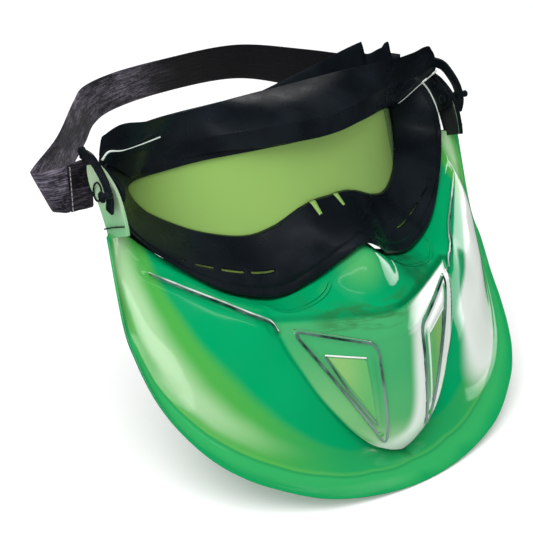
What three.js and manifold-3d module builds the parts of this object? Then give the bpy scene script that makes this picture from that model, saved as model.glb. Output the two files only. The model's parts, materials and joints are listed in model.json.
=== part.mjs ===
// Safety goggle with a face shield hung below it for the nose, mouth and chin, and an elastic headband.
// Millimetres. +X is to the right as seen from in front, +Y points to the wearer's head, +Z is up.
// The origin is the middle of the face seat: the goggle reaches forward from it, towards -Y.
import * as THREE from "three";
import { mergeVertices } from "three/addons/utils/BufferGeometryUtils.js";
import Module from "manifold-3d";

const wasm = await Module();
wasm.setup();

// ---------- driving dimensions ----------

const GAP = 0.35; // clearance between neighbouring pieces
const SIDES = { left: -1, right: 1 };

const LENS = {
  halfWidth: 76, // from the middle to the corner of the sight opening
  noseY: -47, // front face at the middle, at height lowZ
  sweep: 44.5, // how far the corners lie behind the middle
  lean: 0.35, // millimetres back for each millimetre up
  lowZ: -10,
  thickness: 2.2,
  lip: 2.2, // how far the lens reaches past its opening into the groove
};
const FRAME_WALL = 3;
const FLANGE_WALL = 1.8;
const BROW_WALL = 1.8;
const SHIELD_WALL = 2.6;

// Outlines are given for the right half, from the top middle round to the bottom middle.
// The nth key of one outline faces the nth key of the others.
const SIGHT_OPENING = [
  [0, 18], [26, 17], [50, 13], [68, 6], [76, 1], [77, -4], [73, -11],
  [64, -16], [54, -19], [40, -20], [27, -16], [12, -9], [0, -8],
];
const FRAME_FRONT = [
  [0, -39, 24], [28, -32, 23], [54, -13, 19], [79, -3, 15], [91, -5, 14], [92, -16, 4], [90, -23, -10],
  [76, -38, -24], [58, -52, -36], [38, -60, -41], [22, -64, -36], [10, -70, -26], [0, -72, -21],
];
const FRAME_REAR = [
  [0, -10, 22], [28, -9, 22], [56, -5, 21], [75, -1, 17], [85, 1, 12], [87, 1, 3], [86, -1, -11],
  [79, -5, -25], [64, -13, -36], [44, -19, -41], [28, -25, -35], [15, -32, -24], [0, -36, -16],
];
const FACE_EDGE = [
  [0, 3, 27], [30, 4, 27], [58, 6, 26], [75, 9, 22], [83, 12, 16], [85, 13, 4], [83, 11, -12],
  [75, 8, -26], [62, 1, -38], [43, -6, -43], [27, -13, -36], [13, -20, -24], [0, -24, -15],
];
// The soft flange stands up behind the brow on the wearer's left.
const FLANGE_CREST = { x: 52, width: 30, height: 13 };

const BROW = {
  // lower front edge, front crease and rear ridge, from the middle to the end
  lower: [
    [0, -44, 20.5], [26, -37, 19.5], [50, -21, 16], [68, -7.5, 9], [77, -3.5, 5.5],
    [86, -6.5, 13], [95, -10, 20.5],
  ],
  crease: [
    [0, -42.5, 29], [26, -35.5, 28], [50, -20, 23], [68, -11, 20], [79, -10.5, 20],
    [88, -10.5, 22], [95.5, -10, 23.5],
  ],
  ridge: [
    [0, -12, 34.5], [26, -12, 34.5], [48, -13, 34.5], [64, -14.5, 34.5], [76, -15, 34],
    [86, -13, 32.5], [93, -9, 28],
  ],
};

// The shield's outer face runs through these rows, each from the side corner to the middle.
const SHIELD_ROWS = {
  // upper edge, tucked under the goggle
  top: [
    [93.8, -18.5, -9], [92.3, -22.5, -12.2], [86.2, -28.8, -18.3], [76.7, -36.6, -25], [67.4, -44.2, -31.1],
    [58.6, -50, -37.4], [48.9, -55, -41.2], [38, -58, -42.7], [21.2, -62, -37.5], [9.2, -68, -27.5],
    [0, -70, -22.7],
  ],
  // where the panel turns down in front of the goggle's lower edge
  shoulder: [
    [94.6, -18.9, -9], [94.5, -23, -17.5], [89.5, -31, -23.5], [81.5, -41, -30], [73.5, -50.5, -35.5],
    [64.5, -60, -40], [54, -70, -43], [42, -71, -46], [24, -74, -45], [11, -80, -39],
    [0, -83, -35],
  ],
  // the fullest part of the cheeks
  cheek: [
    [96.5, -20, -9.3], [98.5, -27.5, -29], [97, -37.5, -40], [92.5, -48, -50], [86, -59, -58],
    [77, -69.5, -65], [64.5, -79.5, -71], [47, -89, -75], [30, -95, -90], [15, -98, -101],
    [0, -98, -106],
  ],
  // where the panel ends and the edge's lip begins
  lip: [
    [99, -21.2, -9.8], [100.5, -31.5, -42], [100, -40.5, -56], [97.3, -50.5, -70], [92.3, -61.5, -80],
    [85.5, -73, -88.5], [77, -83.5, -95], [65, -93.5, -101.5], [44.5, -104.5, -109.5], [22, -110, -114.5],
    [0, -111.5, -116.5],
  ],
  // outer edge, from the side down to the chin
  rim: [
    [101, -23, -10], [102.3, -35, -47], [102.3, -44.5, -61], [100.3, -55.5, -75], [97, -67, -85],
    [91.5, -79, -93.5], [84, -90, -100], [72.5, -101, -106], [51.5, -114, -113.5], [26, -121.5, -118],
    [0, -124, -119.5],
  ],
};
const ROW_SHARES = [0, 0.12, 0.52, 0.87, 1]; // how far down the face each row lies
// The snout stands out from the shield over the mouth: a rounded keel with a flat flank on each side.
const SNOUT = {
  topZ: -47,
  height: 70,
  halfWidth: 50,
  keel: [[-21, -72.5], [-38, -87], [-54, -98.5], [-78, -105], [-100, -107.5], [-116, -103]], // z, y
  keelHalfWidth: 12,
  flankSlope: 0.58,
  sideSlope: 2.2, // how steeply the snout's sides drop back to the panel
  topSlope: 1.1,
  flattening: 0.12, // share of the flank's slope lost towards the chin
  blend: 3, // rounding where the snout meets the panel
};
// The nose is a dome between the goggle's bridge and the snout; it narrows upwards.
const NOSE = {
  topZ: -21, topY: -72, lowZ: -54, lowY: -98.5,
  topHalfWidth: 17, lowHalfWidth: 36, depth: 22,
  underside: 6, // how sharply the dome ends below
  blend: 4,
};
// The relief fades out over these shares of the face, below the upper edge and above the rim.
const RELIEF_FADE = { top: 0.04, rim: 0.08 };
// The three corners of a breathing window on the snout's flank, x and z.
const WINDOW_CORNERS = [[15.5, -57], [42, -51.5], [15, -101]];
const WINDOW = { proud: 0.8, thickness: 3, cornerShare: 0.12 }; // the share of each side given to its corner

// A lug on the goggle's side: round about the pin, then back to the frame (y and z).
const OUTRIGGER = { x: 92.4, thickness: 1.8, radius: 4.6, root: [[-12, -2], [-4, 2], [-4, 13], [-9, 16.5]] };
const PIN = { y: -20, z: 9, radius: 1.3, headRadius: 2.6, headLength: 1.7, rivetLength: 0.7 };
// The shield's side lug: its front and rear edges from the bottom up, in y and z. It flares out at the rear.
const EAR = {
  front: [[-29.8, -1.9], [-26.5, 6], [-22, 12], [-14.5, 16.2], [-9.4, 17.6]],
  rear: [[-15.8, -8.1], [-10, 1.5], [-4, 6.8], [-2, 12.2], [-2.2, 16.2]],
  frontX: 96.4,
  rearX: 98.6,
  thickness: 1.6,
};
// The clip is a bent arm outside the ear; its top bridges inwards and back to a bar inside the sewn loop.
const CLIP = {
  line: [[-23.1, 2.7], [-23.8, 8.6], [-21.2, 14.5], [-15.8, 19.3], [-9.3, 22.4], [0.5, 21.7]],
  x: 98.95,
  thickness: 1.65,
  width: 5,
  hubRadius: 4.2,
  bridgeFront: -2,
  bridgeHeight: 2.4,
};
const BAR = { x: 96, y: 4.6, radius: 1.2, lowZ: -8.7, highZ: 21 };
const WEBBING_THICKNESS = 1.4;
const STRAP_END = { length: 11, behind: 2.6, thickness: 4.2, height: 22.4, z: 4.4 };
const ADJUSTER = { width: 31, length: 14, bar: 2.4, depth: 5, play: 0.9, at: 0.887, turn: -58.4 };
// Upper and lower edge of the webbing: from the left sewn end out to a slanting fold, then round the back
// to the right sewn end.
const STRAP_EDGES = {
  upper: [
    [-104.8, 4.6, 15.6], [-110.5, 4, 15.6], [-118, 4.4, 15.4], [-120.4, 6.6, 15.4], [-117.5, 10.4, 15.5],
    [-94.6, 33, 16], [-68, 66, 17.5], [-57, 78, 18], [-38.3, 85.3, 18.5], [-5.4, 88.9, 18.5],
    [40, 85.4, 18.5], [64, 62.2, 18], [81, 41, 17], [89, 28, 16.2], [96.8, 16.5, 15.6],
    [96, 13.4, 15.6],
  ],
  lower: [
    [-104.8, 4.6, -6.8], [-107, 4.5, -6.6], [-109.8, 4.6, -5.6], [-111.6, 6.8, -5.6], [-108.5, 11, -6],
    [-90, 36, -6], [-64, 66, -5], [-50.4, 82, -4], [-36.4, 91, -3.5], [-2.8, 97, -3],
    [44, 91.5, -3], [65, 66, -4.2], [81, 41, -5.5], [89, 28, -6.2], [96.8, 16.5, -6.8],
    [96, 13.4, -6.8],
  ],
};

// ---------- solids ----------

function solid(geometry) {
  const plain = geometry.clone();
  plain.deleteAttribute("normal");
  plain.deleteAttribute("uv");
  const merged = mergeVertices(plain, 1e-3);
  return new wasm.Manifold(
    new wasm.Mesh({
      numProp: 3,
      vertProperties: merged.attributes.position.array,
      triVerts: new Uint32Array(merged.index.array),
    }),
  );
}

function geometryOf(manifold) {
  const mesh = manifold.getMesh();
  const geometry = new THREE.BufferGeometry();
  geometry.setAttribute("position", new THREE.BufferAttribute(mesh.vertProperties, mesh.numProp));
  geometry.setIndex(new THREE.BufferAttribute(mesh.triVerts, 1));
  return geometry;
}

function cut(geometry, ...tools) {
  let result = solid(geometry);
  for (const tool of tools) result = result.subtract(solid(tool));
  return geometryOf(result);
}

function join(...geometries) {
  let result = solid(geometries[0]);
  for (const geometry of geometries.slice(1)) result = result.add(solid(geometry));
  return geometryOf(result);
}

// Turns the faces outwards where a mapping has mirrored them.
function facedOut(geometry) {
  const plain = geometry.clone();
  plain.deleteAttribute("normal");
  plain.deleteAttribute("uv");
  const merged = mergeVertices(plain, 1e-3);
  const at = merged.attributes.position;
  const index = merged.index.array;
  const [a, b, c] = [new THREE.Vector3(), new THREE.Vector3(), new THREE.Vector3()];
  let volume = 0;
  for (let i = 0; i < index.length; i += 3) {
    a.fromBufferAttribute(at, index[i]);
    b.fromBufferAttribute(at, index[i + 1]);
    c.fromBufferAttribute(at, index[i + 2]);
    volume += a.dot(b.cross(c));
  }
  if (volume < 0) index.reverse();
  return merged;
}

// A sheet: place(u, v, w) maps a box, u to the right, v up and w from the back face to the front face.
function sheet(across, up, place) {
  const geometry = new THREE.BoxGeometry(1, 1, 1, across, up, 1);
  const position = geometry.attributes.position;
  for (let i = 0; i < position.count; i++) {
    const point = place(position.getX(i) + 0.5, position.getY(i) + 0.5, position.getZ(i) + 0.5);
    position.setXYZ(i, point.x, point.y, point.z);
  }
  return facedOut(geometry);
}

// A closed hoop: section(t) gives the corners of its cross-section at t, which runs once round from 0 to 1.
function hoop(steps, section) {
  const corners = section(0).length;
  const geometry = new THREE.TorusGeometry(2, 1, corners, steps);
  const position = geometry.attributes.position;
  for (let i = 0; i <= steps; i++) {
    const points = section((i % steps) / steps);
    for (let k = 0; k <= corners; k++) {
      const point = points[k % corners];
      position.setXYZ(k * (steps + 1) + i, point.x, point.y, point.z);
    }
  }
  return facedOut(geometry);
}

function block(width, depth, height, x, y, z) {
  return new THREE.BoxGeometry(width, depth, height).translate(x, y, z);
}

function roundBar(radius, length, x, y, z, sides = 16) {
  return new THREE.CylinderGeometry(radius, radius, length, sides).rotateZ(Math.PI / 2).translate(x, y, z);
}

// ---------- outlines ----------

const vector = ([x, y, z]) => new THREE.Vector3(x, y, z);
const lensY = (x, z) => LENS.noseY + LENS.sweep * (x / LENS.halfWidth) ** 2 + LENS.lean * (z - LENS.lowZ);

// A closed curve from the keys of its right half.
function closedOutline(half) {
  const right = half.map(vector);
  const left = half.slice(1, -1).reverse().map(([x, y, z]) => new THREE.Vector3(-x, y, z));
  return new THREE.CatmullRomCurve3([...right, ...left], true, "catmullrom", 0.5);
}

// A curve from the left end over the middle to the right end, from keys that run from the middle to the end.
function openOutline(fromMiddle) {
  const right = fromMiddle.map(vector);
  const left = fromMiddle.slice(1).reverse().map(([x, y, z]) => new THREE.Vector3(-x, y, z));
  return new THREE.CatmullRomCurve3([...left, ...right], false, "catmullrom", 0.5);
}

const sightOpening = closedOutline(SIGHT_OPENING.map(([x, z]) => [x, lensY(x, z), z]));
const frameFront = closedOutline(FRAME_FRONT);
const frameRear = closedOutline(FRAME_REAR);
const faceEdge = closedOutline(FACE_EDGE);
const middleOf = new THREE.Vector3(0, 0, -4);

// A point moved towards the middle of the opening, in the front view.
function inset(point, distance) {
  const inward = middleOf.clone().sub(point).setY(0).normalize();
  return point.clone().addScaledVector(inward, distance);
}

const back = (point, distance) => point.clone().add(new THREE.Vector3(0, distance, 0));

// ---------- goggle ----------

const HOOP_STEPS = 96; // sections round the goggle's frame and flange
const LENS_STEPS = 50; // shares no vertex with the frame's sections

function lensPlate(grow) {
  const rings = 3;
  const edge = (t) => inset(sightOpening.getPoint(t), -LENS.lip - grow);
  const at = (t, share, depth) => {
    const rim = edge(t);
    const x = rim.x * share;
    const z = middleOf.z + (rim.z - middleOf.z) * share;
    return new THREE.Vector3(x, lensY(x, z) + depth, z);
  };
  const front = -grow + 0.9;
  const rear = front + LENS.thickness + 2 * grow;
  // the plate is a lathe-like disc: pole, rings out along the front, rings back along the rear, pole
  const profile = [[0, front]];
  for (let i = 1; i <= rings; i++) profile.push([i / rings, front]);
  for (let i = rings; i >= 1; i--) profile.push([i / rings, rear]);
  profile.push([0, rear]);
  const geometry = new THREE.LatheGeometry(profile.map(([r, y]) => new THREE.Vector2(r, y)), LENS_STEPS);
  const position = geometry.attributes.position;
  for (let i = 0; i <= LENS_STEPS; i++) {
    profile.forEach(([share, depth], k) => {
      const point = at((i % LENS_STEPS) / LENS_STEPS, share, depth);
      position.setXYZ(i * profile.length + k, point.x, point.y, point.z);
    });
  }
  return facedOut(geometry);
}

// The bezel's front face: share 0 is the edge of the opening and share 1 the outer edge.
function bezelPoint(t, share, depth) {
  const inner = sightOpening.getPoint(t);
  const outer = frameFront.getPoint(t);
  return back(inner.lerp(outer, share), depth - 1.2 * (1 - share));
}

function bezelSlot(fromT, toT, fromShare, toShare) {
  return sheet(4, 1, (u, v, w) => {
    const t = THREE.MathUtils.lerp(fromT, toT, u);
    return bezelPoint(t, THREE.MathUtils.lerp(toShare, fromShare, v), SLOT_DEPTH * (0.5 - w));
  });
}

// Air slots along the right half's lower bezel: from, to and how far out they lie.
const AIR_SLOTS = [[0.294, 0.298, 0.78], [0.306, 0.325, 0.7], [0.331, 0.353, 0.62], [0.358, 0.383, 0.6]];
const SLOT_WIDTH = 0.045; // as a share of the bezel's width
const SLOT_DEPTH = 6;
// The strip behind the air slots that keeps splashes out.
const VENT_BAFFLE = { from: 0.288, to: 0.39, shares: [0.5, 0.84], front: 6, thickness: 1.4 };

function goggleFrame() {
  const shell = hoop(HOOP_STEPS, (t) => {
    const front = frameFront.getPoint(t);
    const rear = frameRear.getPoint(t);
    return [
      bezelPoint(t, 0, 0),
      front,
      rear,
      inset(rear, FRAME_WALL),
      back(inset(front, FRAME_WALL), FRAME_WALL),
      bezelPoint(t, 0, FRAME_WALL),
    ];
  });
  const slots = [];
  for (const mirrored of [false, true]) {
    for (const [from, to, share] of AIR_SLOTS) {
      const [start, end] = mirrored ? [1 - to, 1 - from] : [from, to];
      slots.push(bezelSlot(start, end, share, share + SLOT_WIDTH));
    }
  }
  return cut(shell, lensPlate(GAP), browCover(BROW_WALL + 1.2), ...slots);
}

function faceFlange() {
  return hoop(HOOP_STEPS, (t) => {
    const root = back(frameRear.getPoint(t), GAP);
    const lip = faceEdge.getPoint(t);
    const crest = Math.exp(-(((lip.x - FLANGE_CREST.x) / FLANGE_CREST.width) ** 2)) * FLANGE_CREST.height;
    if (lip.z > 0) lip.z += crest * Math.min(1, lip.z / 20);
    return [root, lip, back(inset(lip, FLANGE_WALL), 0.6), inset(root, FLANGE_WALL)];
  });
}

function browCover(wall) {
  const lower = openOutline(BROW.lower);
  const crease = openOutline(BROW.crease);
  const ridge = openOutline(BROW.ridge);
  const inner = (point) => point.clone().add(new THREE.Vector3(0, wall, -wall * 0.5));
  return sheet(40, 4, (u, v, w) => {
    const outer = v <= 0.5
      ? lower.getPoint(u).lerp(crease.getPoint(u), v * 2)
      : crease.getPoint(u).lerp(ridge.getPoint(u), v * 2 - 1);
    return w > 0.5 ? outer : inner(outer);
  });
}

function ventBaffle(side) {
  const from = side > 0 ? VENT_BAFFLE.from : 1 - VENT_BAFFLE.to;
  const to = side > 0 ? VENT_BAFFLE.to : 1 - VENT_BAFFLE.from;
  const [inner, outer] = VENT_BAFFLE.shares;
  return sheet(10, 1, (u, v, w) => {
    const depth = VENT_BAFFLE.front + VENT_BAFFLE.thickness * (1 - w);
    return bezelPoint(THREE.MathUtils.lerp(from, to, u), THREE.MathUtils.lerp(outer, inner, v), depth);
  });
}

// A flat plate that stands upright at the side: its outline is given in y and z, its inner face at x.
function sidePlate(side, x, thickness, outline) {
  const shape = new THREE.Shape(outline.map(([y, z]) => new THREE.Vector2(y, z)));
  const plate = new THREE.ExtrudeGeometry(shape, { depth: thickness, bevelEnabled: false });
  plate.rotateX(Math.PI / 2).rotateZ(Math.PI / 2);
  return plate.translate(side > 0 ? x : -x - thickness, 0, 0);
}

// Points along an arc in y and z, from one angle to another in degrees.
function arc(y, z, radius, from, to, steps = 8) {
  return Array.from({ length: steps + 1 }, (_, i) => {
    const angle = THREE.MathUtils.degToRad(from + ((to - from) * i) / steps);
    return [y + radius * Math.cos(angle), z + radius * Math.sin(angle)];
  });
}

const pinHole = (side) => roundBar(PIN.radius + GAP, 40, side * 100, PIN.y, PIN.z);

function outrigger(side) {
  // the lug on the side of the goggle that carries the headband pin
  const outline = [...arc(PIN.y, PIN.z, OUTRIGGER.radius, 90, 250), ...OUTRIGGER.root];
  return cut(sidePlate(side, OUTRIGGER.x, OUTRIGGER.thickness, outline), pinHole(side));
}

function headbandPin(side) {
  const outer = CLIP.x + CLIP.thickness + GAP;
  const inner = OUTRIGGER.x - GAP;
  const shank = roundBar(PIN.radius, outer - inner + 1, (side * (outer + inner)) / 2, PIN.y, PIN.z);
  const head = roundBar(PIN.headRadius, PIN.headLength, side * (outer + PIN.headLength / 2), PIN.y, PIN.z);
  const rivet = roundBar(PIN.headRadius, PIN.rivetLength, side * (inner - PIN.rivetLength / 2), PIN.y, PIN.z);
  return join(shank, head, rivet);
}

// ---------- face shield ----------

const shieldRows = Object.values(SHIELD_ROWS).map((row) => openOutline([...row].reverse()));
const keelLine = new THREE.CatmullRomCurve3(SNOUT.keel.map(([z, y]) => new THREE.Vector3(0, y, z)));
const KEEL_POINTS = keelLine.getPoints(60);

function keelY(z) {
  const next = KEEL_POINTS.findIndex((point) => point.z <= z);
  if (next <= 0) return next === 0 ? KEEL_POINTS[0].y : KEEL_POINTS.at(-1).y + (KEEL_POINTS.at(-1).z - z);
  const [a, b] = [KEEL_POINTS[next - 1], KEEL_POINTS[next]];
  return THREE.MathUtils.lerp(a.y, b.y, (a.z - z) / (a.z - b.z));
}

// The forward face of the snout as y at a place in the front view. A ledge ends it above.
function snoutY(x, z) {
  const flat = Math.hypot(x, SNOUT.keelHalfWidth) - SNOUT.keelHalfWidth;
  const below = THREE.MathUtils.clamp((SNOUT.topZ - z) / SNOUT.height, 0, 1);
  const halfWidth = SNOUT.halfWidth * (1 - below ** 2) ** 0.75;
  const beyond = Math.max(0, Math.abs(x) - halfWidth);
  const above = Math.max(0, z - SNOUT.topZ);
  const flank = flat * SNOUT.flankSlope * (1 - SNOUT.flattening * below);
  return keelY(z) + flank + beyond * SNOUT.sideSlope + above * SNOUT.topSlope;
}

function noseY(x, z) {
  const down = (NOSE.topZ - z) / (NOSE.topZ - NOSE.lowZ);
  const halfWidth = THREE.MathUtils.lerp(NOSE.topHalfWidth, NOSE.lowHalfWidth, down);
  const below = Math.max(0, down - 1);
  const ridge = THREE.MathUtils.lerp(NOSE.topY, NOSE.lowY, down);
  return ridge + NOSE.depth * ((x / halfWidth) ** 2 + (NOSE.underside * below) ** 2);
}

// The lesser of two depths with their crossing rounded off.
function smoothLess(a, b, radius) {
  const h = Math.max(radius - Math.abs(a - b), 0) / radius;
  return Math.min(a, b) - (h * h * radius) / 4;
}

// The outer face of the shield: u from the left side to the right, v from the upper edge to the rim.
function shieldFace(u, v) {
  const crossings = shieldRows.map((row) => row.getPoint(u));
  const column = new THREE.CatmullRomCurve3(crossings, false, "catmullrom", 0.5);
  const next = Math.max(1, ROW_SHARES.findIndex((share) => share >= v));
  const within = (v - ROW_SHARES[next - 1]) / (ROW_SHARES[next] - ROW_SHARES[next - 1]);
  const point = column.getPoint((next - 1 + within) / (ROW_SHARES.length - 1));
  const held = Math.min(1, v / RELIEF_FADE.top, (1 - v) / RELIEF_FADE.rim);
  const snout = smoothLess(point.y, snoutY(point.x, point.z), SNOUT.blend);
  const relief = smoothLess(snout, noseY(point.x, point.z), NOSE.blend);
  point.y = THREE.MathUtils.lerp(point.y, relief, held);
  return point;
}

function breathWindow(side, grow, depth, lift) {
  const corners = WINDOW_CORNERS.map(([x, z]) => new THREE.Vector2(side * x, z));
  const middle = corners.reduce((sum, c) => sum.add(c), new THREE.Vector2()).divideScalar(3);
  const grown = corners.map((c) => c.clone().lerp(middle, -grow / c.distanceTo(middle)));
  const edge = new THREE.CatmullRomCurve3(
    grown.flatMap((c, i) => {
      const next = grown[(i + 1) % 3];
      const before = grown[(i + 2) % 3];
      const pair = [before, next].map((other) => c.clone().lerp(other, WINDOW.cornerShare));
      return pair.map((p) => new THREE.Vector3(p.x, 0, p.y));
    }),
    true, "catmullrom", 0.2,
  );
  const steps = 30;
  const rings = [0, 0.5, 1, 1, 0.5, 0];
  const depths = [lift, lift, lift, depth, depth, depth];
  const profile = rings.map((r, i) => new THREE.Vector2(r, depths[i]));
  const geometry = new THREE.LatheGeometry(profile, steps);
  const position = geometry.attributes.position;
  for (let i = 0; i <= steps; i++) {
    const rim = edge.getPoint(side > 0 ? 1 - (i % steps) / steps : (i % steps) / steps);
    profile.forEach((p, k) => {
      const x = THREE.MathUtils.lerp(middle.x, rim.x, p.x);
      const z = THREE.MathUtils.lerp(middle.y, rim.z, p.x);
      position.setXYZ(i * profile.length + k, x, snoutY(x, z) + p.y, z);
    });
  }
  return facedOut(geometry);
}

function faceShield() {
  const shell = sheet(56, 18, (u, v, w) => {
    const point = shieldFace(u, 1 - v);
    return w > 0.5 ? point : back(point, SHIELD_WALL);
  });
  const reach = 3 * WINDOW.thickness;
  const holes = Object.values(SIDES).map((side) => breathWindow(side, GAP, reach, -reach));
  return cut(shell, ...holes);
}

function shieldEar(side) {
  // the upright lug at the side of the shield that hangs on the headband pin
  const edge = (line) => new THREE.CatmullRomCurve3(line.map(([y, z]) => new THREE.Vector3(0, y, z)));
  const [front, rear] = [edge(EAR.front), edge(EAR.rear)];
  const plate = sheet(2, 10, (u, v, w) => {
    const point = front.getPoint(v).lerp(rear.getPoint(v), u);
    point.x = side * (THREE.MathUtils.lerp(EAR.frontX, EAR.rearX, u) - EAR.thickness * (1 - w));
    return point;
  });
  return cut(plate, pinHole(side));
}

// ---------- headband ----------

function strapClip(side) {
  const line = new THREE.CatmullRomCurve3(CLIP.line.map(([y, z]) => new THREE.Vector3(0, y, z)));
  const arm = sheet(16, 1, (u, v, w) => {
    const along = line.getTangent(u);
    const point = line.getPoint(u);
    point.add(new THREE.Vector3(0, -along.z, along.y).multiplyScalar((v - 0.5) * CLIP.width));
    point.x = side * (CLIP.x + CLIP.thickness * w);
    return point;
  });
  const hub = sidePlate(side, CLIP.x, CLIP.thickness, arc(PIN.y, PIN.z, CLIP.hubRadius, 0, 337.5, 15));
  const outer = CLIP.x + CLIP.thickness;
  const reach = outer - (BAR.x - BAR.radius);
  const rear = BAR.y + BAR.radius;
  const bridgeLength = rear - CLIP.bridgeFront;
  const bridgeMiddle = rear - bridgeLength / 2;
  const bridgeX = side * (outer - reach / 2);
  const bridge = block(reach, bridgeLength, CLIP.bridgeHeight, bridgeX, bridgeMiddle, BAR.highZ);
  const barLength = BAR.highZ - BAR.lowZ;
  const bar = new THREE.CylinderGeometry(BAR.radius, BAR.radius, barLength, 12).rotateX(Math.PI / 2);
  bar.translate(side * BAR.x, BAR.y, (BAR.highZ + BAR.lowZ) / 2);
  return cut(join(arm, hub, bridge, bar), pinHole(side));
}

function strapEnd(side) {
  // The doubled and sewn end of the webbing, a pocket for the clip's bar. The left one points outwards and
  // the right one backwards.
  const panel = block(STRAP_END.length, STRAP_END.thickness, STRAP_END.height, 0, 0, 0);
  panel.translate(STRAP_END.length / 2 - STRAP_END.behind, 0, 0);
  const pocket = new THREE.CylinderGeometry(BAR.radius + GAP, BAR.radius + GAP, 60, 12).rotateX(Math.PI / 2);
  const turn = side > 0 ? 90 : 180;
  const end = cut(panel, pocket).rotateZ(THREE.MathUtils.degToRad(turn));
  return end.translate(side * BAR.x, BAR.y, STRAP_END.z);
}

const strapEdge = (keys) => new THREE.CatmullRomCurve3(keys.map(vector), false, "centripetal");
const strapUpper = strapEdge(STRAP_EDGES.upper);
const strapLower = strapEdge(STRAP_EDGES.lower);

function strapMiddle(u) {
  return strapUpper.getPoint(u).lerp(strapLower.getPoint(u), 0.5);
}

function webbing() {
  return sheet(90, 1, (u, v, w) => {
    const along = strapMiddle(Math.min(1, u + 0.002)).sub(strapMiddle(Math.max(0, u - 0.002)));
    const out = new THREE.Vector3(along.y, -along.x, 0).normalize();
    const point = strapLower.getPoint(u).lerp(strapUpper.getPoint(u), v);
    return point.addScaledVector(out, (w - 0.5) * WEBBING_THICKNESS);
  });
}

// The sliding buckle stands on the straight run of the webbing behind the right clip.
function adjuster() {
  const middle = strapMiddle(ADJUSTER.at);
  const high = STRAP_END.height + 2 * ADJUSTER.play;
  const body = block(ADJUSTER.length, ADJUSTER.depth, ADJUSTER.width, 0, 0, 0);
  const channel = block(60, WEBBING_THICKNESS + 2 * ADJUSTER.play, high, 0, 0, 0);
  const window = block(ADJUSTER.length / 2 - ADJUSTER.bar, 60, high, 0, 0, 0);
  const left = window.clone().translate(-ADJUSTER.length / 4, 0, 0);
  const right = window.clone().translate(ADJUSTER.length / 4, 0, 0);
  const buckle = cut(body, channel, left, right);
  return buckle.rotateZ(THREE.MathUtils.degToRad(ADJUSTER.turn)).translate(middle.x, middle.y, middle.z);
}

// ---------- assembly ----------

const FINISHES = {
  black: { color: 0x14181b, roughness: 0.38, metalness: 0 },
  softBlack: { color: 0x1c2024, roughness: 0.6, metalness: 0 },
  lens: { color: 0x8fb85e, roughness: 0.08, metalness: 0 },
  shield: { color: 0x06a468, roughness: 0.1, metalness: 0 },
  paleGreen: { color: 0xb5d8a8, roughness: 0.15, metalness: 0 },
  webbing: { color: 0x39343f, roughness: 0.9, metalness: 0 },
};

const assembly = new THREE.Group();

function add(name, geometry, finish) {
  const mesh = new THREE.Mesh(geometry, new THREE.MeshStandardMaterial(FINISHES[finish]));
  mesh.name = name;
  assembly.add(mesh);
}

add("goggle_frame", goggleFrame(), "black");
add("face_flange", faceFlange(), "softBlack");
add("lens", lensPlate(0), "lens");
add("brow_cover", browCover(BROW_WALL), "black");
add("face_shield", faceShield(), "shield");
for (const [name, side] of Object.entries(SIDES)) {
  add(`vent_baffle_${name}`, ventBaffle(side), "black");
  add(`outrigger_${name}`, outrigger(side), "black");
  add(`headband_pin_${name}`, headbandPin(side), "black");
  add(`shield_ear_${name}`, shieldEar(side), "paleGreen");
  add(`strap_clip_${name}`, strapClip(side), "black");
  add(`strap_end_${name}`, strapEnd(side), "webbing");
}
for (const [name, side] of Object.entries(SIDES)) {
  const rear = WINDOW.thickness - WINDOW.proud;
  add(`breath_window_${name}`, breathWindow(side, 0, rear, -WINDOW.proud), "shield");
}
add("strap_webbing", webbing(), "webbing");
add("strap_adjuster", adjuster(), "black");

export default assembly;
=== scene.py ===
"""Safety goggle with a tinted face shield and an elastic headband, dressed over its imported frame.

Lengths are written in millimetres and turned into metres where a mesh is made. +X is to the right
as seen from in front, +Y points into the wearer's face and +Z is up.
"""
import json
import math

import bmesh
import bpy
import numpy as np
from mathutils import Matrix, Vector

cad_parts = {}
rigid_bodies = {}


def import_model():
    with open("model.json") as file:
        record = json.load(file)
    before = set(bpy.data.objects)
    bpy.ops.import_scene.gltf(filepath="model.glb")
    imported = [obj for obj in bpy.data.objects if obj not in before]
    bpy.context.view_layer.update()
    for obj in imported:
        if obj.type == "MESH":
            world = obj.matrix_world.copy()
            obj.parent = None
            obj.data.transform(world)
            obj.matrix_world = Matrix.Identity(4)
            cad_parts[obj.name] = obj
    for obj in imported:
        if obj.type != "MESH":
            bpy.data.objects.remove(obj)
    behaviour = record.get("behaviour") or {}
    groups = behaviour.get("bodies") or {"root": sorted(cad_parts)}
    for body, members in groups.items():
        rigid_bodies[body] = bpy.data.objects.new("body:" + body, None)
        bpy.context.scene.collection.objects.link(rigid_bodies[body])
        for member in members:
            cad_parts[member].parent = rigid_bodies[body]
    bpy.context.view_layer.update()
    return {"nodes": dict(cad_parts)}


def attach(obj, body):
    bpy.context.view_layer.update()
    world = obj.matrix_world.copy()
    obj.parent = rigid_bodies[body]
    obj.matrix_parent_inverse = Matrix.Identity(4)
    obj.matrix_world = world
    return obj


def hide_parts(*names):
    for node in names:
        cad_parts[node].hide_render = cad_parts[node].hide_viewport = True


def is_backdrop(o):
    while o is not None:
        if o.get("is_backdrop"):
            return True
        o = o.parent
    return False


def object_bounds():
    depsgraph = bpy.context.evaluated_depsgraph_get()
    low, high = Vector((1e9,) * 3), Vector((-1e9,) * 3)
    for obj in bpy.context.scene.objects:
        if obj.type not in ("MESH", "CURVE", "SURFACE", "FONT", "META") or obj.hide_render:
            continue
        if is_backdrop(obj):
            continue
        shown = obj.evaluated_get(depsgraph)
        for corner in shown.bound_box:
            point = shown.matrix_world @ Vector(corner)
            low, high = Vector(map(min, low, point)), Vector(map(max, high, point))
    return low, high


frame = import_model()

MM = 0.001
SIDES = {"left": -1, "right": 1}
SIDE_NAMES = {side: name for name, side in SIDES.items()}

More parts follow.
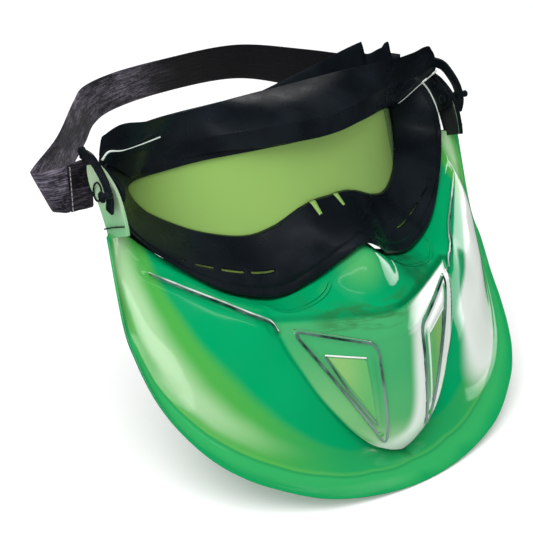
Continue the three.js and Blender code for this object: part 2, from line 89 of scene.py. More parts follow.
# ---------- outlines shared with the frame ----------

LENS = {
    "half_width": 76, "nose_y": -47, "sweep": 44.5, "lean": 0.35, "low_z": -10,
    "thickness": 2.2, "lip": 2.2, "depth": 0.9,
}
OPENING_MIDDLE = (0, -4)  # x and z

# Right halves, from the top middle round to the bottom middle.
SIGHT_OPENING = [
    (0, 18), (26, 17), (50, 13), (68, 6), (76, 1), (77, -4), (73, -11),
    (64, -16), (54, -19), (40, -20), (27, -16), (12, -9), (0, -8),
]
FRAME_FRONT = [
    (0, -39, 24), (28, -32, 23), (54, -13, 19), (79, -3, 15), (91, -5, 14), (92, -16, 4), (90, -23, -10),
    (76, -38, -24), (58, -52, -36), (38, -60, -41), (22, -64, -36), (10, -70, -26), (0, -72, -21),
]
FRAME_REAR = [
    (0, -10, 22), (28, -9, 22), (56, -5, 21), (75, -1, 17), (85, 1, 12), (87, 1, 3), (86, -1, -11),
    (79, -5, -25), (64, -13, -36), (44, -19, -41), (28, -25, -35), (15, -32, -24), (0, -36, -16),
]
FACE_EDGE = [
    (0, 3, 27), (30, 4, 27), (58, 6, 26), (75, 9, 22), (83, 12, 16), (85, 13, 4), (83, 11, -12),
    (75, 8, -26), (62, 1, -38), (43, -6, -43), (27, -13, -36), (13, -20, -24), (0, -24, -15),
]
# How far the flange stands up behind the brow, as shares of FLANGE_HEIGHT by x.
FLANGE_HEIGHT = 12.5
FLANGE_RISE = [(-5, 0), (60, 1), (62, 0.5), (64, 0.45), (68, 0.5), (77, 0.8), (83, 1.4), (88, 1.2)]

# From the middle to the end.
BROW_LOWER = [
    (0, -44, 20.5), (26, -37, 19.5), (50, -21, 16), (68, -7.5, 9),
    (77, -3.5, 5.5), (86, -6.5, 13), (95, -10, 20.5),
]
BROW_CREASE = [
    (0, -42.5, 29), (26, -35.5, 28), (50, -20, 23), (68, -11, 20),
    (79, -10.5, 20), (88, -10.5, 22), (95.5, -10, 23.5),
]
BROW_RIDGE = [
    (0, -12, 34.5), (26, -12, 34.5), (48, -13, 34.5), (64, -14.5, 34.5),
    (76, -15, 35.5), (86, -13, 36), (93, -9, 31),
]

# From the side corner to the middle.
SHIELD_ROWS = [
    # upper edge, tucked under the goggle
    [(93.8, -16.5, -8.6), (91.9, -18.5, -10.6), (86.2, -24.4, -16.8), (77, -32.4, -24.7),
     (67.6, -39.5, -31.2), (58.8, -45.5, -37.5), (48.9, -51, -41.8), (38, -54, -43.3),
     (21.2, -58, -38), (9.2, -64, -28.2), (0, -66, -23.4)],
    # shoulder
    [(94.6, -18.9, -9), (94.5, -23, -17.5), (89.5, -31, -23.5), (81.5, -41, -30), (73.5, -50.5, -35.5),
     (64.5, -60, -40), (54, -70, -43), (42, -71, -46), (24, -74, -45), (11, -80, -39), (0, -83, -35)],
    # cheek
    [(96.5, -20, -9.3), (98.5, -27.5, -29), (97, -37.5, -40), (92.5, -48, -50), (86, -59, -58),
     (77, -69.5, -65), (64.5, -79.5, -71), (47, -89, -75), (30, -95, -90), (15, -98, -101), (0, -98, -106)],
    # start of the lip
    [(99, -21.2, -9.8), (100.5, -31.5, -42), (100, -40.5, -56), (97.3, -50.5, -70), (92.3, -61.5, -80),
     (85.5, -73, -88.5), (77, -83.5, -95), (65, -93.5, -101.5), (44.5, -104.5, -109.5), (22, -110, -114.5),
     (0, -111.5, -116.5)],
    # outer edge
    [(101, -23, -10), (102.3, -35, -47), (102.3, -44.5, -61), (100.3, -55.5, -75), (97, -67, -85),
     (91.5, -79, -93.5), (84, -90, -100), (72.5, -101, -106), (51.5, -114, -113.5), (26, -121.5, -118),
     (0, -124, -119.5)],
]
ROW_SHARES = [0, 0.12, 0.52, 0.87, 1]
SHIELD_WALL = 2.4
SNOUT = {
    "top_z": -45.5, "height": 71.5, "keel_half_width": 12,
    "flank_slope": 0.58, "side_slope": 2.2, "top_slope": 1.1,
    "proud": 1.7,
}
# Half width of the snout at each height: x, z.
SNOUT_EDGE = [
    (49.8, -44), (48, -55), (43.8, -66), (38.8, -77), (32.8, -87),
    (25.6, -97), (17, -106), (8, -111.5), (0.5, -114.5),
]
SNOUT_KEEL = [(-21, -72.5), (-38, -87), (-54, -98.5), (-78, -105), (-100, -107.5), (-116, -103)]  # z, y
NOSE = {
    "top_z": -21, "top_y": -72, "top_width": 15.5,
    "low_z": -54, "low_y": -98.5, "low_width": 30,
    "depth": 22,
}
WINDOW_CORNERS = [(12.6, -55.6), (45.6, -47.4), (11.2, -108.5)]  # x, z
CORNER_SHARE = 0.12  # how much of each side its rounded corner takes

PIN = {"y": -20, "z": 9, "radius": 1.3, "head_radius": 2.6}
# The lug's front and rear edges in y and z, from the bottom up, and the clip's middle line.
EAR_FRONT = [(-31, -6.5), (-29.8, -1.9), (-26.5, 6), (-22, 12), (-14.5, 16.4), (-9.0, 18.0)]
EAR_REAR = [(-17.5, -12.5), (-15.8, -8.1), (-10, 1.5), (-4, 6.8), (-2, 12.2), (-2.0, 16.4)]
EAR = {"front_x": 96.4, "rear_x": 98.6, "thickness": 1.6}
CLIP_LINE = [(-23.1, 2.7), (-23.8, 8.6), (-21.2, 14.5), (-15.8, 19.3), (-9.3, 22.4), (0.5, 21.7)]
CLIP = {"x": 98.95, "thickness": 1.65, "width": 5}
BAR = {"x": 96, "y": 4.6, "radius": 1.2, "low_z": -6.3, "high_z": 21}
STRAP_END = {"length": 11, "behind": 2.6, "thickness": 4.2, "height": 22.4, "z": 4.4}
WEBBING_THICKNESS = 1.4
# The webbing's upper and lower edges, from the left clip round behind the head to the right one.
STRAP_UPPER = [
    (-104.8, 4.6, 15.6), (-110.5, 4, 15.6), (-118, 4.4, 15.4), (-120.4, 6.6, 15.4), (-117.5, 10.4, 15.5),
    (-94.6, 33, 16), (-68, 66, 17.5), (-57, 78, 18), (-38.3, 85.3, 18.5), (-5.4, 88.9, 18.5),
    (40, 85.4, 18.5), (64, 62.2, 18), (81, 41, 17), (89, 28, 16.2), (96.8, 16.5, 15.6), (96, 13.4, 15.6),
]
STRAP_LOWER = [
    (-104.8, 4.6, -6.8), (-107, 4.5, -6.6), (-109.8, 4.6, -5.6), (-111.6, 6.8, -5.6), (-108.5, 11, -6),
    (-90, 36, -6), (-64, 66, -5), (-50.4, 82, -4), (-36.4, 91, -3.5), (-2.8, 97, -3), (44, 91.5, -3),
    (65, 66, -4.2), (81, 41, -5.5), (89, 28, -6.2), (96.8, 16.5, -6.8), (96, 13.4, -6.8),
]

# ---------- curves and meshes ----------


def catmull(keys, t, closed=False):
    """Points of an evenly keyed Catmull-Rom spline at t, from 0 to 1. A key is a point or a row of them."""
    keys = np.asarray(keys, float)
    count = len(keys)
    spans = count if closed else count - 1
    at = np.clip(np.asarray(t, float), 0, 1) * spans
    start = np.minimum(np.floor(at), spans - 1).astype(int)
    spread_shape = at.shape + (1,) * (keys.ndim - 1)
    s = (at - start).reshape(spread_shape)

    def key(i):
        if closed:
            return keys[i % count]
        inside = keys[np.clip(i, 0, count - 1)]
        inside = np.where((i < 0).reshape(spread_shape), 2 * keys[0] - keys[1], inside)
        return np.where((i > count - 1).reshape(spread_shape), 2 * keys[-1] - keys[-2], inside)

    p0, p1, p2, p3 = key(start - 1), key(start), key(start + 1), key(start + 2)
    return 0.5 * (
        2 * p1
        + (p2 - p0) * s
        + (2 * p0 - 5 * p1 + 4 * p2 - p3) * s**2
        + (3 * p1 - p0 - 3 * p2 + p3) * s**3
    )


def ring_keys(half):
    """A whole ring from the keys of its right half."""
    return half + [(-k[0],) + tuple(k[1:]) for k in reversed(half[1:-1])]


def arch_keys(half):
    """A line from the left end over the middle to the right end, from keys that start at the middle."""
    return [(-k[0],) + tuple(k[1:]) for k in reversed(half[1:])] + list(half)


def sided(name, side):
    return f"{name}_{SIDE_NAMES[side]}"


def to_side(points, side):
    """Points of the right half, kept there or mirrored to the left half."""
    return np.asarray(points, float) * np.array([side, 1, 1])


def with_y(xz, y):
    """Points in space from points in the front view and a depth for each."""
    return np.stack([xz[..., 0], y, xz[..., 1]], -1)


def lens_y(x, z):
    """The lens's outer face: it sweeps back to the sides and leans back to the top."""
    return LENS["nose_y"] + LENS["sweep"] * (x / LENS["half_width"]) ** 2 + LENS["lean"] * (z - LENS["low_z"])


def smooth_step(x, low, high):
    t = np.clip((x - low) / (high - low), 0, 1)
    return t * t * (3 - 2 * t)


def smooth_less(a, b, radius):
    """The lesser of a and b with their crossing rounded off."""
    h = np.maximum(radius - np.abs(a - b), 0) / radius
    return np.minimum(a, b) - h * h * radius / 4


def grid_object(name, points, wrap_u=False, wrap_v=False):
    """A mesh from a grid of points in millimetres, shape (nu, nv, 3)."""
    nu, nv = points.shape[:2]
    faces = []
    for i in range(nu if wrap_u else nu - 1):
        for j in range(nv if wrap_v else nv - 1):
            i2, j2 = (i + 1) % nu, (j + 1) % nv
            faces.append((i * nv + j, i2 * nv + j, i2 * nv + j2, i * nv + j2))
    return mesh_object(name, points.reshape(-1, 3), faces)


def mesh_object(name, vertices, faces):
    mesh = bpy.data.meshes.new(name)
    mesh.from_pydata((np.asarray(vertices, float) * MM).tolist(), [], faces)
    mesh.validate()
    mesh.update()
    for polygon in mesh.polygons:
        polygon.use_smooth = True
    obj = bpy.data.objects.new(name, mesh)
    bpy.context.scene.collection.objects.link(obj)
    return obj


def closed_sheet(name, front, back):
    """A closed plate between two grids of the same shape."""
    nu, nv = front.shape[:2]
    size = nu * nv
    vertices = np.concatenate([front.reshape(-1, 3), back.reshape(-1, 3)])
    faces = []
    for i in range(nu - 1):
        for j in range(nv - 1):
            a, b, c, d = i * nv + j, (i + 1) * nv + j, (i + 1) * nv + j + 1, i * nv + j + 1
            faces.append((a, b, c, d))
            faces.append((a + size, d + size, c + size, b + size))
    rim = [i * nv for i in range(nu)]
    rim += [(nu - 1) * nv + j for j in range(1, nv)]
    rim += [i * nv + nv - 1 for i in range(nu - 2, -1, -1)]
    rim += [j for j in range(nv - 2, 0, -1)]
    for k, a in enumerate(rim):
        b = rim[(k + 1) % len(rim)]
        faces.append((b, a, a + size, b + size))
    return face_out(mesh_object(name, vertices, faces))


def face_out(obj):
    """Turns the mesh's faces outwards."""
    work = bmesh.new()
    work.from_mesh(obj.data)
    bmesh.ops.recalc_face_normals(work, faces=work.faces)
    work.to_mesh(obj.data)
    work.free()
    return obj


def apply_modifiers(obj):
    depsgraph = bpy.context.evaluated_depsgraph_get()
    mesh = bpy.data.meshes.new_from_object(obj.evaluated_get(depsgraph))
    obj.modifiers.clear()
    obj.data = mesh
    for polygon in mesh.polygons:
        polygon.use_smooth = True
    return obj


def soften(obj, width, segments=3, angle=35):
    """Rounds the sharp edges of a mesh, with shading that stays flat on flats."""
    bevel = obj.modifiers.new("edges", "BEVEL")
    bevel.width = width * MM
    bevel.segments = segments
    bevel.limit_method = "ANGLE"
    bevel.angle_limit = math.radians(angle)
    bevel.harden_normals = False
    apply_modifiers(obj)
    weighted = obj.modifiers.new("shading", "WEIGHTED_NORMAL")
    weighted.keep_sharp = False
    return apply_modifiers(obj)


def cut_with(obj, *tools):
    for tool in tools:
        modifier = obj.modifiers.new("cut", "BOOLEAN")
        modifier.operation = "DIFFERENCE"
        modifier.solver = "EXACT"
        modifier.object = tool
    apply_modifiers(obj)
    for tool in tools:
        bpy.data.objects.remove(tool)
    return obj


def joined(name, *objects):
    """One object from several."""
    vertices, faces, count = [], [], 0
    for obj in objects:
        vertices += [v.co / MM for v in obj.data.vertices]
        faces += [tuple(count + i for i in p.vertices) for p in obj.data.polygons]
        count += len(obj.data.vertices)
        bpy.data.objects.remove(obj)
    return mesh_object(name, vertices, faces)


def prism(name, near, far):
    """A closed solid between two outlines with the same number of points."""
    count = len(near)
    faces = [tuple(range(count)), tuple(range(2 * count - 1, count - 1, -1))]
    for i in range(count):
        j = (i + 1) % count
        faces.append((j, i, i + count, j + count))
    return face_out(mesh_object(name, np.vstack([near, far]), faces))


def plate(name, outline, x, thickness, side):
    """An upright plate at the side: outline in y and z, its inner face at x."""
    near = [(side * x, y, z) for y, z in outline]
    far = [(side * (x + thickness), y, z) for y, z in outline]
    return prism(name, near, far)


def ring_points(y, z, radius, count=40, start=0, end=360):
    return [
        (y + radius * math.cos(math.radians(a)), z + radius * math.sin(math.radians(a)))
        for a in np.linspace(start, end, count, endpoint=end - start < 360)
    ]


def lathe_x(name, profile, y, z, side, steps=40):
    """A turned piece on an axis along X: profile in x and radius, closed on the axis."""
    grid = np.array([
        [(side * x, y + r * math.cos(a), z + r * math.sin(a)) for x, r in profile]
        for a in np.linspace(0, 2 * math.pi, steps, endpoint=False)
    ])
    obj = grid_object(name, grid, wrap_u=True)
    return face_out(merge_close(obj))


def merge_close(obj, distance=0.001):
    work = bmesh.new()
    work.from_mesh(obj.data)
    bmesh.ops.remove_doubles(work, verts=work.verts, dist=distance * MM)
    work.to_mesh(obj.data)
    work.free()
    return obj


# ---------- materials ----------


def material(name, colour, roughness, **sockets):
    """A Principled material; the sockets are named with underscores for spaces."""
    made = bpy.data.materials.new(name)
    made.use_nodes = True
    shader = made.node_tree.nodes["Principled BSDF"]
    shader.inputs["Base Color"].default_value = (*colour, 1)
    shader.inputs["Roughness"].default_value = roughness
    for socket, value in sockets.items():
        shader.inputs[socket.replace("_", " ")].default_value = value
    return made


class Nodes:
    """Short calls for wiring one material."""

    def __init__(self, made):
        self.tree = made.node_tree
        self.shader = self.tree.nodes["Principled BSDF"]
        self.place = self.tree.nodes.new("ShaderNodeTexCoord").outputs["Object"]
        self.uv = self.tree.nodes["Texture Coordinate"].outputs["UV"]

    def put(self, kind, **values):
        node = self.tree.nodes.new(kind)
        for key, value in values.items():
            setattr(node, key, value)
        return node

    def link(self, a, b):
        self.tree.links.new(a, b)

    def noise(self, scale, detail=3, where=None, distortion=0.0):
        node = self.put("ShaderNodeTexNoise")
        node.inputs["Scale"].default_value = scale
        node.inputs["Detail"].default_value = detail
        node.inputs["Distortion"].default_value = distortion
        self.link(where or self.place, node.inputs["Vector"])
        return node.outputs["Fac"]

    def attribute(self, name):
        node = self.put("ShaderNodeAttribute", attribute_name=name)
        return node.outputs["Fac"]

    def stretch(self, scale, where=None):
        node = self.put("ShaderNodeMapping")
        node.inputs["Scale"].default_value = scale
        self.link(where or self.place, node.inputs["Vector"])
        return node.outputs["Vector"]

    def axes(self, where=None):
        node = self.put("ShaderNodeSeparateXYZ")
        self.link(where or self.place, node.inputs["Vector"])
        return node.outputs

    def maths(self, operation, a, b=None, c=None):
        node = self.put("ShaderNodeMath", operation=operation)
        for i, value in enumerate((a, b, c)):
            if value is None:
                continue
            if isinstance(value, (int, float)):
                node.inputs[i].default_value = value
            else:
                self.link(value, node.inputs[i])
        return node.outputs["Value"]

    def times(self, first, *others):
        for other in others:
            first = self.maths("MULTIPLY", first, other)
        return first

    def spread(self, value, low, high, to_low=0.0, to_high=1.0, smooth=True):
        """Maps low to high onto to_low to to_high, and holds the ends."""
        node = self.put("ShaderNodeMapRange")
        node.interpolation_type = "SMOOTHSTEP" if smooth else "LINEAR"
        self.link(value, node.inputs["Value"])
        for key, number in (("From Min", low), ("From Max", high), ("To Min", to_low), ("To Max", to_high)):
            node.inputs[key].default_value = number
        return node.outputs["Result"]

    def band(self, value, start, full, still_full, end):
        """1 from full to still_full, fading to 0 at start and end."""
        return self.times(self.spread(value, start, full), self.spread(value, still_full, end, 1, 0))

    def mix(self, factor, a, b):
        node = self.put("ShaderNodeMix", data_type="RGBA")
        if isinstance(factor, (int, float)):
            node.inputs["Factor"].default_value = factor
        else:
            self.link(factor, node.inputs["Factor"])
        for key, value in (("A", a), ("B", b)):
            socket = [s for s in node.inputs if s.name == key and s.type == "RGBA"][0]
            if isinstance(value, tuple):
                socket.default_value = (*value, 1)
            else:
                self.link(value, socket)
        return [s for s in node.outputs if s.type == "RGBA"][0]

    def colour(self, value):
        self.link(value, self.shader.inputs["Base Color"])

    def roughness(self, value):
        self.link(value, self.shader.inputs["Roughness"])

    def bump(self, height, strength, depth):
        node = self.put("ShaderNodeBump")
        node.inputs["Strength"].default_value = strength
        node.inputs["Distance"].default_value = depth * MM
        self.link(height, node.inputs["Height"])
        self.link(node.outputs["Normal"], self.shader.inputs["Normal"])


def moulded_black():
    """Satin moulded plastic, faintly blue-green, with moulding haze and a fine grain."""
    made = material("moulded_black", (0.006, 0.009, 0.012), 0.3, Specular_IOR_Level=0.3)
    n = Nodes(made)
    haze = n.noise(38, 4)
    n.colour(n.mix(n.spread(haze, 0.35, 0.7), (0.0045, 0.007, 0.010), (0.010, 0.0145, 0.019)))
    n.roughness(n.spread(n.noise(90, 5), 0.3, 0.75, 0.24, 0.38))
    n.bump(n.noise(2600, 2), 0.12, 0.04)
    return made


def soft_black():
    """Matt rubber finish, used on the sheets on the lugs' inner faces."""
    made = material("soft_black", (0.016, 0.018, 0.02), 0.6, Specular_IOR_Level=0.25)
    n = Nodes(made)
    n.colour(n.mix(n.spread(n.noise(55, 4), 0.3, 0.7), (0.011, 0.013, 0.015), (0.026, 0.029, 0.032)))
    n.roughness(n.spread(n.noise(120, 4), 0.3, 0.7, 0.5, 0.72))
    n.bump(n.noise(1900, 3), 0.25, 0.08)
    return made


def tinted_lens():
    """Yellow-green lens, duller to the right and dark at its right end."""
    made = material(
        "tinted_lens", (0.26, 0.46, 0.12), 0.2,
        Specular_IOR_Level=0.3, Transmission_Weight=0.04, IOR=1.5,
    )
    n = Nodes(made)
    x = n.axes()["X"]
    tint = n.mix(n.spread(x, -0.075, 0.06, smooth=False), (0.30, 0.52, 0.125), (0.225, 0.375, 0.105))
    tint = n.mix(n.spread(x, 0.0595, 0.061), tint, (0.10, 0.19, 0.085))
    cloud = n.spread(n.noise(22, 3), 0.3, 0.7)
    n.colour(n.mix(n.times(cloud, 0.2), tint, (0.33, 0.50, 0.12)))
    n.roughness(n.spread(n.noise(60, 3), 0.3, 0.7, 0.17, 0.24))
    n.bump(n.noise(320, 2), 0.03, 0.05)
    return made


def wing_tint_and_light(n, wing, out, z):
    """Emerald in the middle, with painted light across the wings: yellow-green, then a pale painted highlight
    short of the lip that fades out towards the bottom.
    """
    cloud = n.maths("MULTIPLY_ADD", n.noise(26, 3), 0.16, n.maths("ADD", wing, -0.08))
    # Painted light: yellow-green across the wings, weaker near the middle.
    yellow = n.times(n.spread(cloud, -0.05, 0.2), n.spread(out, 0.028, 0.078, 0.25, 1))
    tint = n.mix(yellow, (0.0, 0.355, 0.125), (0.07, 0.41, 0.07))
    # Painted highlight: a pale band across each wing short of the lip, faded out towards the bottom.
    pale = n.times(n.spread(cloud, 0.3, 0.72), n.spread(cloud, 0.8, 0.98, 1, 0.15))
    return n.mix(n.times(pale, n.spread(z, -0.104, -0.076), 0.54), tint, (0.66, 0.86, 0.58))


def snout_light_and_shade(n, tint, snout, out, z):
    """Painted light on the snout: yellower flanks and a near-white painted highlight at the tip; a mottled
    band of painted shade along the shelf above the windows.
    """
    inside = n.spread(snout, -0.5, 1.2)
    # Painted light: yellower flanks, more so lower down.
    flank = n.times(inside, n.spread(z, -0.05, -0.09, 0.25, 0.8), n.spread(snout, 4, 26, 1, 0.45))
    tint = n.mix(flank, tint, (0.24, 0.56, 0.22))
    # Painted highlight at the snout's tip.
    tip_highlight = n.times(n.spread(snout, 0.5, 4), n.spread(z, -0.092, -0.112), 0.6)
    tint = n.mix(tip_highlight, tint, (0.75, 0.9, 0.7))
    # Painted shade, mottled, in a band along the shelf above the windows.
    mottle = n.spread(n.noise(1, 4, n.stretch((90, 90, 520))), 0.35, 0.62)
    shelf = n.band(z, -0.0515, -0.0485, -0.0435, -0.0405)
    ledge_shade = n.times(shelf, n.spread(out, 0.026, 0.04, 1, 0), mottle, 0.6)
    return n.mix(ledge_shade, tint, (0.03, 0.13, 0.03))


def nose_shade_and_highlight(n, tint, x, z):
    """Painted shade in streaks in the hollow right of the nose, and a painted highlight on the nose's bridge.
    """
    # Painted shade: streaks in the hollow right of the nose.
    streaks = n.spread(n.noise(1, 2, n.stretch((150, 150, 22))), 0.3, 0.7, 0.35, 1)
    recess_shade = n.times(n.band(x, 0.012, 0.022, 0.030, 0.044), n.spread(z, -0.058, -0.047), streaks, 0.7)
    tint = n.mix(recess_shade, tint, (0.005, 0.10, 0.04))
    # Painted highlight round a point on the nose's bridge.
    from_bridge = n.put("ShaderNodeVectorMath", operation="DISTANCE")
    n.link(n.place, from_bridge.inputs[0])
    from_bridge.inputs[1].default_value = (-0.006, -0.078, -0.028)
    return n.mix(n.spread(from_bridge.outputs["Value"], 0.002, 0.016, 0.45, 0), tint, (0.16, 0.50, 0.14))


def edge_shade_and_light(n, tint, snout, out, x):
    """Painted shade in the crease round the snout and under the goggle, both stronger on the right; painted
    light and shade across the lip, with painted shade in its groove and a painted light band inside it.
    """
    right = n.spread(x, -0.002, 0.004)
    # Painted shade in the crease round the snout, stronger on the right.
    crease = n.times(n.band(snout, -2.4, -0.9, -0.6, 0.2), n.maths("MULTIPLY_ADD", right, 0.5, 0.4))
    tint = n.mix(crease, tint, (0.0, 0.16, 0.05))
    rim = n.attribute("rim")
    # Painted light and shade across the lip: lighter on its inner part, darker at the outer edge.
    lip = n.mix(n.spread(rim, 0.55, 0.95), (0.035, 0.43, 0.125), (0.006, 0.34, 0.10))
    tint = n.mix(n.spread(rim, 0.0, 0.1), tint, lip)
    # Painted shade in a narrow groove line just past the start of the lip.
    tint = n.mix(n.times(n.band(rim, 0.0, 0.08, 0.1, 0.24), 0.32), tint, (0.0, 0.20, 0.06))
    # Painted shade in a band under the goggle's edge on the wings, stronger on the right.
    hem = n.times(n.spread(n.attribute("hem"), 0.5, 5.5, 1, 0), n.spread(out, 0.06, 0.082))
    tint = n.mix(n.times(hem, n.maths("MULTIPLY_ADD", right, 0.35, 0.6)), tint, (0.012, 0.05, 0.03))
    # Painted light in a band just before the lip starts.
    return n.mix(n.times(n.band(rim, -0.28, -0.05, -0.03, 0.03), 0.4), tint, (0.13, 0.50, 0.11))


def shield_glare(n, tint, wing, snout, x, z):
    """A painted milky glare where the snout and the right wing turn away, and painted dark shade at grazing
    angles.
    """
    layer = n.put("ShaderNodeLayerWeight")
    layer.inputs["Blend"].default_value = 0.5
    turned = layer.outputs["Facing"]
    below_goggle = n.spread(n.maths("ADD", n.maths("MULTIPLY_ADD", x, -0.737, 0.103), z), -0.002, 0.004, 1, 0)
    right_wing = n.times(below_goggle, n.spread(x, 0.02, 0.03))
    lit_parts = n.maths("MAXIMUM", right_wing, n.spread(snout, -0.3, 0.6))
    glare = n.times(n.band(turned, 0.32, 0.52, 0.82, 0.92), lit_parts, n.spread(wing, 0.95, 1.02, 1, 0), 0.92)
    tint = n.mix(glare, tint, (0.93, 0.97, 0.93))
    return n.mix(n.times(n.spread(turned, 0.82, 0.95), 0.85), tint, (0.0, 0.06, 0.02))


def tinted_shield():
    """Tinted plastic with painted light and shade over it; tag_shield gives it the attributes wing, rim, hem
    and snout.
    """
    made = material(
        "tinted_shield", (0.0, 0.34, 0.12), 0.10,
        Specular_IOR_Level=0.45, Transmission_Weight=0.06, IOR=1.5,
    )
    n = Nodes(made)
    wing, snout = n.attribute("wing"), n.attribute("snout")
    axes = n.axes()
    x, z = axes["X"], axes["Z"]
    out = n.maths("ABSOLUTE", x)
    tint = wing_tint_and_light(n, wing, out, z)
    tint = snout_light_and_shade(n, tint, snout, out, z)
    tint = nose_shade_and_highlight(n, tint, x, z)
    tint = edge_shade_and_light(n, tint, snout, out, x)
    n.colour(shield_glare(n, tint, wing, snout, x, z))
    n.roughness(n.spread(n.noise(50, 3), 0.3, 0.7, 0.09, 0.16))
    n.bump(n.noise(14, 2), 0.04, 0.5)
    return made


def pale_lug():
    """Translucent plastic of the lugs, greener at the foot."""
    made = material("pale_lug", (0.42, 0.66, 0.38), 0.14, Transmission_Weight=0.2, IOR=1.5, Coat_Weight=0.4)
    n = Nodes(made)
    z = n.axes()["Z"]
    tint = n.mix(n.spread(z, -0.012, 0.014), (0.20, 0.60, 0.28), (0.52, 0.70, 0.46))
    n.colour(n.mix(n.times(n.noise(90, 3), 0.35), tint, (0.30, 0.52, 0.30)))
    n.roughness(n.spread(n.noise(120, 3), 0.3, 0.7, 0.1, 0.22))
    return made


def slot_light_green():
    """Painted light: the yellow-green of the light that comes through the air slots, on the strip behind
    them.
    """
    made = material("slot_light_green", (0.33, 0.5, 0.10), 0.3)
    n = Nodes(made)
    n.colour(n.mix(n.noise(160, 3), (0.28, 0.45, 0.08), (0.42, 0.58, 0.15)))
    n.bump(n.noise(800, 2), 0.2, 0.05)
    return made


RIB_PITCH = 0.0010  # metres along the webbing
YARN_PITCH = 0.0011  # metres across it


def shade(colour, depth):
    return tuple(channel * depth for channel in colour)


def woven_webbing(name="woven_webbing", depth=1.0):
    """Elastic webbing: violet-grey yarns with streaks of light flecks; depth scales its colours."""
    made = material(
        name, (0.04, 0.034, 0.048), 0.85,
        Sheen_Weight=0.1, Sheen_Roughness=0.5, Specular_IOR_Level=0.2,
    )
    n = Nodes(made)
    axes = n.axes(n.uv)
    along = n.times(axes["X"], 2 * math.pi / RIB_PITCH)
    across = n.times(axes["Y"], 2 * math.pi / YARN_PITCH)
    rib = n.maths("MULTIPLY_ADD", n.maths("SINE", along), 0.5, 0.5)
    yarn = n.maths("MULTIPLY_ADD", n.maths("SINE", across), 0.5, 0.5)
    weave = n.maths("MULTIPLY_ADD", n.times(rib, 0.35), yarn, 0.1)
    streak = n.spread(n.noise(1, 4, n.stretch((130, 640, 1), n.uv)), 0.44, 0.6)
    fleck = n.spread(n.noise(1, 3, n.stretch((520, 900, 1), n.uv)), 0.45, 0.62)
    patch = n.spread(n.noise(1, 3, n.stretch((24, 60, 1), n.uv)), 0.4, 0.6)
    base = n.mix(patch, shade((0.008, 0.006, 0.011), depth), shade((0.042, 0.035, 0.052), depth))
    light = n.mix(patch, shade((0.11, 0.098, 0.135), depth), shade((0.36, 0.32, 0.41), depth))
    flecks = n.maths("MULTIPLY_ADD", streak, 0.6, n.times(fleck, 0.4))
    lit = n.times(flecks, n.maths("MULTIPLY_ADD", yarn, 0.6, 0.3))
    worn = n.mix(n.maths("MINIMUM", lit, 1.0), base, light)
    n.colour(n.mix(n.spread(axes["X"], 0.13, 0.175), worn, (0.006, 0.0055, 0.008)))
    n.roughness(n.spread(streak, 0, 1, 0.75, 0.95))
    n.bump(n.maths("ADD", weave, n.times(streak, 0.8)), 0.55, 0.16)
    return made


def shade_bead():
    """Painted shade for the dark beads, glossy and uneven, turning pale grey-green lower down as a painted
    highlight.
    """
    made = material("shade_bead", (0.01, 0.07, 0.045), 0.16, Specular_IOR_Level=0.7)
    n = Nodes(made)
    tint = n.mix(n.spread(n.noise(95, 3), 0.35, 0.65), (0.004, 0.03, 0.02), (0.10, 0.20, 0.16))
    # Painted highlight: pale grey-green below, dark green above.
    n.colour(n.mix(n.spread(n.axes()["Z"], -0.09, -0.062), (0.22, 0.32, 0.29), tint))
    n.roughness(n.spread(n.noise(140, 2), 0.3, 0.7, 0.12, 0.25))
    return made


def ridge_glint_bead():
    """Patchy painted highlight on the panel's raised line, beside a bead of painted shadow."""
    made = material("ridge_glint_bead", (0.5, 0.58, 0.54), 0.2, Specular_IOR_Level=0.7)
    n = Nodes(made)
    n.colour(n.mix(n.spread(n.noise(110, 3), 0.35, 0.65), (0.16, 0.34, 0.25), (0.72, 0.78, 0.75)))
    return made


def panel_green():
    """Window panel, paler at the top outer corner."""
    made = material("panel_green", (0.2, 0.45, 0.1), 0.14)
    n = Nodes(made)
    axes = n.axes()
    tint = n.mix(n.spread(axes["Z"], -0.092, -0.066), (0.07, 0.42, 0.12), (0.26, 0.50, 0.16))
    inner = n.spread(n.maths("ABSOLUTE", axes["X"]), 0.018, 0.028)
    tint = n.mix(n.times(inner, 0.8), (0.10, 0.44, 0.14), tint)
    n.colour(n.mix(n.times(n.noise(120, 4), 0.25), tint, (0.30, 0.50, 0.16)))
    n.bump(n.noise(240, 2), 0.08, 0.1)
    return made


def highlight_white():
    """Painted highlight for the pale beads in the goggle's joints and on the window panels."""
    made = material("highlight_white", (0.75, 0.85, 0.78), 0.2)
    n = Nodes(made)
    n.colour(n.mix(n.noise(130, 3), (0.55, 0.68, 0.60), (0.92, 0.96, 0.93)))
    return made


def thread():
    """Grey stitching thread."""
    made = material("thread", (0.34, 0.33, 0.36), 0.7, Sheen_Weight=0.3)
    n = Nodes(made)
    n.colour(n.mix(n.noise(900, 2), (0.22, 0.21, 0.24), (0.45, 0.44, 0.47)))
    return made


def paint(obj, made):
    obj.data.materials.clear()
    obj.data.materials.append(made)
    return obj


def piece(obj, made, body, slot, *nodes):
    """Finishes a piece: its material, the body it rides on and the nodes it stands for. The slot argument is
    not used.
    """
    paint(obj, made)
    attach(obj, body)
    if nodes:
        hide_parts(*nodes)
    return obj


# ---------- goggle ----------

RING_STEPS = 360
ring_t = np.linspace(0, 1, RING_STEPS, endpoint=False)
front_ring, rear_ring, face_ring = (
    catmull(ring_keys(half), ring_t, closed=True) for half in (FRAME_FRONT, FRAME_REAR, FACE_EDGE)
)


def opening_at(t):
    """Points of the sight opening on the lens, at t from 0 to 1 round it."""
    xz = catmull(ring_keys(SIGHT_OPENING), t, closed=True)
    return with_y(xz, lens_y(xz[..., 0], xz[..., 1]))


opening = opening_at(ring_t)

